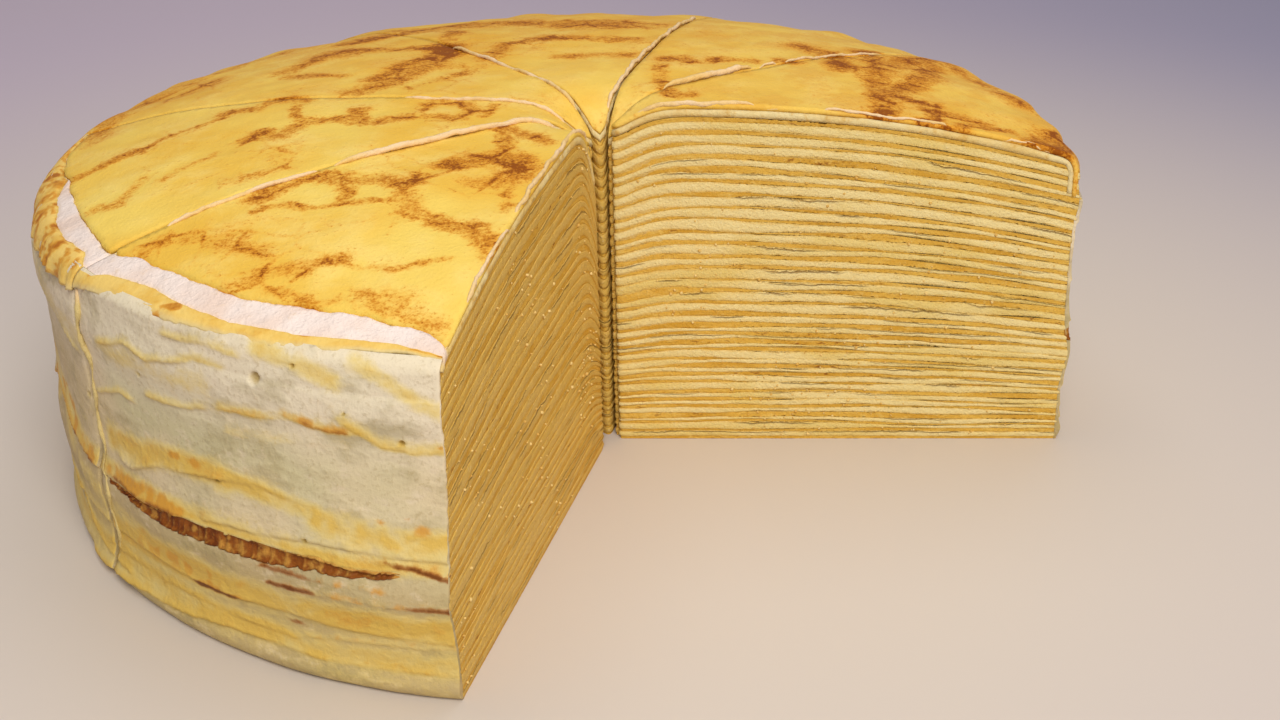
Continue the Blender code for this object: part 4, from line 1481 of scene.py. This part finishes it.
for plan in SLICES:
    turns = plan.arc(RADIUS, HEM_STEP)
    front = front_azimuth(turns)
    top = course_height(HEM_TOP, turns)
    tall = hem_height(front)
    there = smooth(0.2, 1.0, tall)
    along = np.outer(turns, (1, 0, 0))
    gather = turns * HEM_PLEATS + 2.5 * np.sin(turns * 41) + 7.0 * grain(along, 34.0)
    scallop = (0.25 * np.abs(np.sin(gather / 2)) + 0.35 * grain(along, 60.0)) * there
    shares = np.linspace(0.0, 1.0, HEM_ROWS)[:, None]
    level = (top + 0.35 - (tall + 0.35 + scallop) * shares) * MM
    turn = np.repeat(turns[None], HEM_ROWS, 0)
    under = coat_surface(turn.ravel(), level.ravel())[0].reshape(level.shape)
    crest = 0.5 + 0.5 * np.sin(gather + 0.8 * shares)
    tucked = 0.7 * (1 - smooth(0.0, 0.18, shares)) + 0.9 * (1 - there) + 0.25 * smooth(0.9, 1.0, shares)
    proud = (0.30 + 0.26 * crest - tucked) * MM
    sides = (under + proud, under + np.minimum(proud, 0.0) - HEM_THICKNESS)
    grids = (round_axis(turn, far, level)[::-1] for far in sides)
    golden = (smooth(238.0, 246.0, front) * 0.35 + 0.5 * smooth(0.30, 0.0, shares))[::-1]
    hem = closed_grid(f"{plan.name}_hem", *grids, hem_crepe, {"crest": crest[::-1], "golden": golden})
    finish(hem, "browned_crepe")


# ---------------------------------------------------------------------------------------------
# The rim of the crepe below: where the last crepe ends short, the next one shows past the cream
# ring. It hangs over the rim with a torn, ruffled edge.
# ---------------------------------------------------------------------------------------------
# Where the crepe below ends over the rim: azimuth in degrees and distance over the fold in mm
DRAPE_END = (
    (160, 113.5), (200, 113.5), (210, 113), (213.6, 112.6), (214, 111.6), (217, 110.4), (225, 109.6),
    (234, 109.2), (241, 109.1), (245, 108.4), (249, 107.6), (252, 107), (256, 107.2), (260, 108.6),
)
DRAPE_ROWS = 14
DRAPE_THICKNESS = 0.0006
DRAPE_PROUD = 0.0001
STRIPES_ROUND_THE_CAKE = 100

rim_crepe, recipe, shader = food("rim_crepe", Roughness=0.5, Specular_IOR_Level=0.15)
spot = recipe.place()
browned = recipe.value("browned")
patchy = recipe.noise(spot, 200.0, 3.0, 0.65)
fine = recipe.noise(spot, 1200.0, 3.0, 0.65)
colour = recipe.mottled(patchy, 0.35, 0.65, (240, 204, 112), (232, 188, 88))
# Paler and less yellow towards the sheet's outer edge over the rim, except where it is striped.
worn = recipe.value("worn") + (patchy - 0.5) * 0.8
colour = recipe.coats(colour, (worn, 0.3, 1.0, 0.7, (222, 204, 148)))
field = browned + (patchy - 0.5) * 1.5 + (fine - 0.5) * 0.6
colour = recipe.coats(
    colour,
    (field, 0.10, 0.60, 0.85, (216, 148, 44)),
    (field, 0.50, 1.10, 0.85, (176, 100, 22)),
)
feed(recipe, shader, colour, height=patchy + fine * 0.4, depth=0.0004)

for plan in SLICES:
    if plan.folded:
        continue
    turns = plan.arc(FOLD_START, COAT_STEP)
    turn, share = (part.ravel() for part in np.meshgrid(turns, np.linspace(0.0, 1.0, DRAPE_ROWS)))
    inner = np.tile(ring_outside(plan, turns), DRAPE_ROWS)
    outer = np.tile(read_off(DRAPE_END, turns) + ragged(turns, 0.0006, 17.0), DRAPE_ROWS)
    flat = AXIS + ways_at(turn) * (inner + (outer - inner) * share)[:, None]
    hanging = smooth(214.5, 213.0, np.degrees(turn))
    ruffle = 0.0004 * np.sin(turn * 170 + 3 * np.sin(turn * 37)) + 0.0002
    lift = share**3 * (ruffle * (0.15 + 0.85 * hanging) - 0.00022 * (1 - hanging))
    tuck = 0.0007 * (1 - smooth(0.0, 0.12, share))
    upper = fold(plan, flat, -DRAPE_PROUD - lift + tuck)
    lower = fold(plan, flat, DRAPE_THICKNESS - DRAPE_PROUD - lift * 0.9)
    around = np.column_stack((ways_at(turn), share))
    striped = smooth(214.0, 209.0, np.degrees(turn))
    stripes = 0.5 + 0.5 * np.sin(turn * STRIPES_ROUND_THE_CAKE + 5.0 * grain(around, 9.0))
    stripes = stripes * smooth(-0.5, 0.2, grain(around * (1, 1, 0.05), 40.0, 9.0))
    dots = smooth(0.22, 0.50, grain(around * (1, 1, 0.06), 26.0, 5.0))
    found = {"browned": striped * stripes * 0.75 + dots * 0.8, "worn": share**2 * (1 - striped)}
    found = {key: part.reshape(DRAPE_ROWS, -1)[::-1] for key, part in found.items()}
    grids = (part.reshape(DRAPE_ROWS, -1, 3)[::-1] for part in (upper, lower))
    drape = closed_grid(f"{plan.name}_rim_crepe", *grids, rim_crepe, found)
    finish(drape, "browned_crepe")


# ---------------------------------------------------------------------------------------------
# Threads of cream along the cuts. The knife squeezes the cream up between two slices, where it
# stays as a soft pinkish bead on one slice's edge, and runs down the wall in a crooked line.
# ---------------------------------------------------------------------------------------------
THREAD_STEP = 0.0012
THREAD_RESAMPLE = 0.0004
THREAD_SIDES = 10
THREAD_LUMPS = 0.0007
THREAD_WANDER = 0.0014
THINNEST_THREAD = 0.00004
# Threads on top: slice, cut, start and end from where the cuts meet, radius and way in, in mm,
# and how much of it is still there
THREADS = (
    (6, 0, 7, 62, 0.62, 0.05, 1.0),
    (6, 0, 60, 96, 0.45, 0.10, 0.7),
    (5, 0, 5, 46, 0.42, 0.10, 0.7),
    (4, 0, 5, 64, 0.42, 0.10, 0.7),
    (3, 0, 5, 98, 0.46, 0.05, 0.8),
    (2, 0, 16, 46, 0.72, 0.20, 0.8),
    (2, 0, 44, 90, 0.30, 0.20, 0.4),
    (1, 0, 5, 34, 0.52, 0.35, 0.9),
    (1, 0, 34, 96, 0.28, 0.15, 0.3),
    (6, 1, 7, 60, 0.45, 0.20, 0.5),
    (6, 1, 60, 98, 0.35, 0.15, 0.3),
)
# The bead down the wall beside the first thread: height in mm, radius in mm, way round in mm
WALL_BEAD = (
    (63, 0.5, 0.8), (59, 0.7, 2.4), (56, 0.2, 1.6), (52, 0.7, 1.2), (49, 0.6, 2.4), (45, 0.2, 1.8),
    (42, 0.6, 2.6), (38, 0.3, 1.2), (34, 0.7, 2.0), (31, 0.2, 2.8), (26, 0.1, 2.0), (21, 0.6, 3.6),
    (17, 0.2, 2.6), (12, 0.5, 3.2), (8, 0.1, 2.2), (5, 0.1, 1.2),
)

thread_inputs = {"Lumps": float, "Wander": float, "Seed": float, "Material": bpy.types.Material}
thread_tree, recipe, given = new_tree("cream_thread", **thread_inputs)
line = recipe.node("GeometryNodeMeshToCurve", inputs={0: given["Geometry"]})
line = recipe.node("GeometryNodeResampleCurve", {"mode": "LENGTH"}, {0: line, 3: THREAD_RESAMPLE})
spot = recipe.node("GeometryNodeInputPosition")
drift = recipe.vector("SCALE", a=recipe.shift(spot, 170.0, 1.0, w=given["Seed"]), by=given["Wander"])
line = recipe.node("GeometryNodeSetPosition", inputs={0: line, 3: drift})
radius = held(recipe, "radius_here")
ring = recipe.node("GeometryNodeCurvePrimitiveCircle", inputs={0: THREAD_SIDES, 4: 1.0})
tube = recipe.node("GeometryNodeCurveToMesh", inputs={0: line, 1: ring, 2: radius, 3: True})
lumps = recipe.noise(spot, 620.0, 2.0, 0.6, w=given["Seed"])
normal = recipe.node("GeometryNodeInputNormal")
push = recipe.vector("SCALE", a=normal, by=(lumps - 0.5) * given["Lumps"])
tube = recipe.node("GeometryNodeSetPosition", inputs={0: tube, 3: push})
close_tree(recipe, tube, given["Material"])

thread_cream, recipe, shader = food("thread_cream", Roughness=0.45, Specular_IOR_Level=0.15)
spot = recipe.place()
broad = recipe.noise(spot, 110.0, 2.0, 0.5)
fine = recipe.noise(spot, 900.0, 3.0, 0.65)
colour = recipe.mottled(broad, 0.38, 0.66, (240, 210, 164), (234, 198, 126))
colour = recipe.coats(colour, (fine, 0.54, 0.74, 0.5, (226, 184, 104)))
high = recipe.part(spot, 2)
# Painted shade: the bead down the wall, below the rim, is painted a darker, greyer cream than the
# threads on top.
colour = recipe.coats(colour, (high, 0.0625, 0.0600, 0.9, (206, 184, 118)))
feed(recipe, shader, colour, height=fine, depth=0.0004)


def thread(name, lines, seed):
    """A thread of cream along lines of spots, each spot with its radius."""
    spots, edges, radii = [], [], []
    for line, sizes in lines:
        first = len(spots)
        spots += line.tolist()
        edges += [(first + i, first + i + 1) for i in range(len(line) - 1)]
        radii += list(sizes)
    base = piece_from("base", spots, [], [], {"radius_here": radii}, edges)
    look = {"Material": thread_cream, "Lumps": THREAD_LUMPS, "Wander": THREAD_WANDER}
    made = grow(base, thread_tree, name, Seed=seed, **look)
    finish(made, "top_cream")


def broken(line, share, seed):
    """Parts of a thread that are there, from 0 to 1 along it, with soft ends."""
    there = smooth(0.42 - 0.75 * share, 0.55 - 0.75 * share, 0.5 + 0.9 * grain(line, 90.0, seed))
    ends = np.minimum(np.arange(len(line)), np.arange(len(line))[::-1])
    return there * smooth(-0.5, 5.0, ends)


for plan in SLICES:
    lines = []
    for number, (owner, side, start, end, radius, inset, share) in enumerate(THREADS):
        if plan.name != f"slice_{owner}":
            continue
        _, _, inward = plan.cut(side)
        along = np.arange(start * MM, end * MM, THREAD_STEP)
        flat = plan.cut_spots(side, along) + inward * inset * MM
        size = radius * MM * broken(lifted(flat), share, number)
        size = np.maximum(size, THINNEST_THREAD)
        level = plan.top(flat) + size * 0.5 - 0.0006 * (size < 0.0002)
        lines.append((np.column_stack((flat, level)), size))
    if plan.name == "slice_6":
        heights, radii, round_it = (np.array(part) * MM for part in zip(*WALL_BEAD))
        level = np.arange(heights[0], heights[-1], -THREAD_STEP)
        size = np.interp(-level, -heights, radii)
        turn = plan.bearing(0, RADIUS) + np.interp(-level, -heights, round_it) / RADIUS
        far = coat_surface(turn, level)[0] + size * 0.2
        lines.append((round_axis(turn, far, level), size))
    thread(f"{plan.name}_threads", lines, 2.0 * len(lines))


# ---------------------------------------------------------------------------------------------
# Crumbs of cream and crepe that the knife left stuck on the two open cut faces.
# ---------------------------------------------------------------------------------------------
CRUMB_PATCH = 0.004
CRUMB_DENSITY = 200000.0
CRUMB_SMALLEST = 0.00016
CRUMB_LARGEST = 0.00038
CRUMB_LUMPS = 0.0005
CRUMB_ROWS = 18
CRUMB_LOWEST = 0.001
CRUMB_MARGIN = 0.002
CRUMB_SINK = 0.0001

crumb_inputs = {"Density": float, "Smallest": float, "Largest": float, "Seed": int}
crumb_inputs |= {"Material": bpy.types.Material}
crumb_tree, recipe, given = new_tree("crumbs", **crumb_inputs)
chance = {0: given["Geometry"], 4: given["Density"] * held(recipe, "share"), 6: given["Seed"]}
places = recipe.node("GeometryNodeDistributePointsOnFaces", {"distribute_method": "RANDOM"}, chance)
ball = recipe.node("GeometryNodeMeshIcoSphere", inputs={0: 1.0, 1: 2})
span = {2: 0.0, 3: 1.0, 8: given["Seed"]}
pick = recipe.node("FunctionNodeRandomValue", {"data_type": "FLOAT"}, span, 1)
size = given["Smallest"] + (given["Largest"] - given["Smallest"]) * pick**2.5
span = {1: (6.28, 6.28, 6.28), 8: given["Seed"]}
turn = recipe.node("FunctionNodeRandomValue", {"data_type": "FLOAT_VECTOR"}, span)
copies = recipe.node("GeometryNodeInstanceOnPoints", inputs={0: places, 2: ball, 5: turn, 6: size})
copies = recipe.node("GeometryNodeRealizeInstances", inputs={0: copies})
spot = recipe.node("GeometryNodeInputPosition")
lumps = recipe.noise(spot, 2600.0, 2.0, 0.6)
normal = recipe.node("GeometryNodeInputNormal")
push = recipe.vector("SCALE", a=normal, by=(lumps - 0.5) * CRUMB_LUMPS)
copies = recipe.node("GeometryNodeSetPosition", inputs={0: copies, 3: push})
close_tree(recipe, copies, given["Material"])

crumb, recipe, shader = food("crumb", Roughness=0.5, Specular_IOR_Level=0.15)
spot = recipe.place()
kind = recipe.noise(spot, 700.0, 1.0, 0.5)
colour = recipe.mottled(kind, 0.40, 0.55, (218, 176, 92), (232, 202, 130))
feed(recipe, shader, colour)

spots, faces, shares = [], [], []
for plan in SLICES:
    for side in plan.open_cuts:
        _, _, inward = plan.cut(side)
        far = plan.reach(side, RADIUS - COAT_SKIN)
        along = np.arange(plan.point + CRUMB_MARGIN, far, CRUMB_PATCH)
        columns = []
        for spot in plan.cut_spots(side, along) - inward * CRUMB_SINK:
            top = float(plan.top(spot[None])[0]) - CRUMB_MARGIN
            columns.append([(*spot, level) for level in np.linspace(CRUMB_LOWEST, top, CRUMB_ROWS)])
        columns = np.array(columns)
        first = len(spots)
        count = columns.shape[1]
        spots += columns.reshape(-1, 3).tolist()
        for i in range(len(columns) - 1):
            for j in range(count - 1):
                a = first + i * count + j
                face = (a, a + 1, a + count + 1, a + count)
                faces.append(face if side else face[::-1])
        low = 1 - columns[:, :, 2] / CENTRE_HEIGHT
        near = 1 - np.repeat(along[:, None], count, 1) / RADIUS
        patches = smooth(-0.2, 0.5, grain(columns.reshape(-1, 3), 60.0, 3.0)).reshape(low.shape)
        shares += (patches * (0.15 + 0.9 * low * near + 0.3 * low)).ravel().tolist()
base = piece_from("crumb_places", spots, faces, [], {"share": shares})
look = {"Density": CRUMB_DENSITY, "Smallest": CRUMB_SMALLEST, "Largest": CRUMB_LARGEST}
crumbs = grow(base, crumb_tree, "crumbs", Material=crumb, Seed=4, **look)
finish(crumbs, "crepe_layers")


size = {"cad": cad_box, "visual": [list(corner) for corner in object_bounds()]}
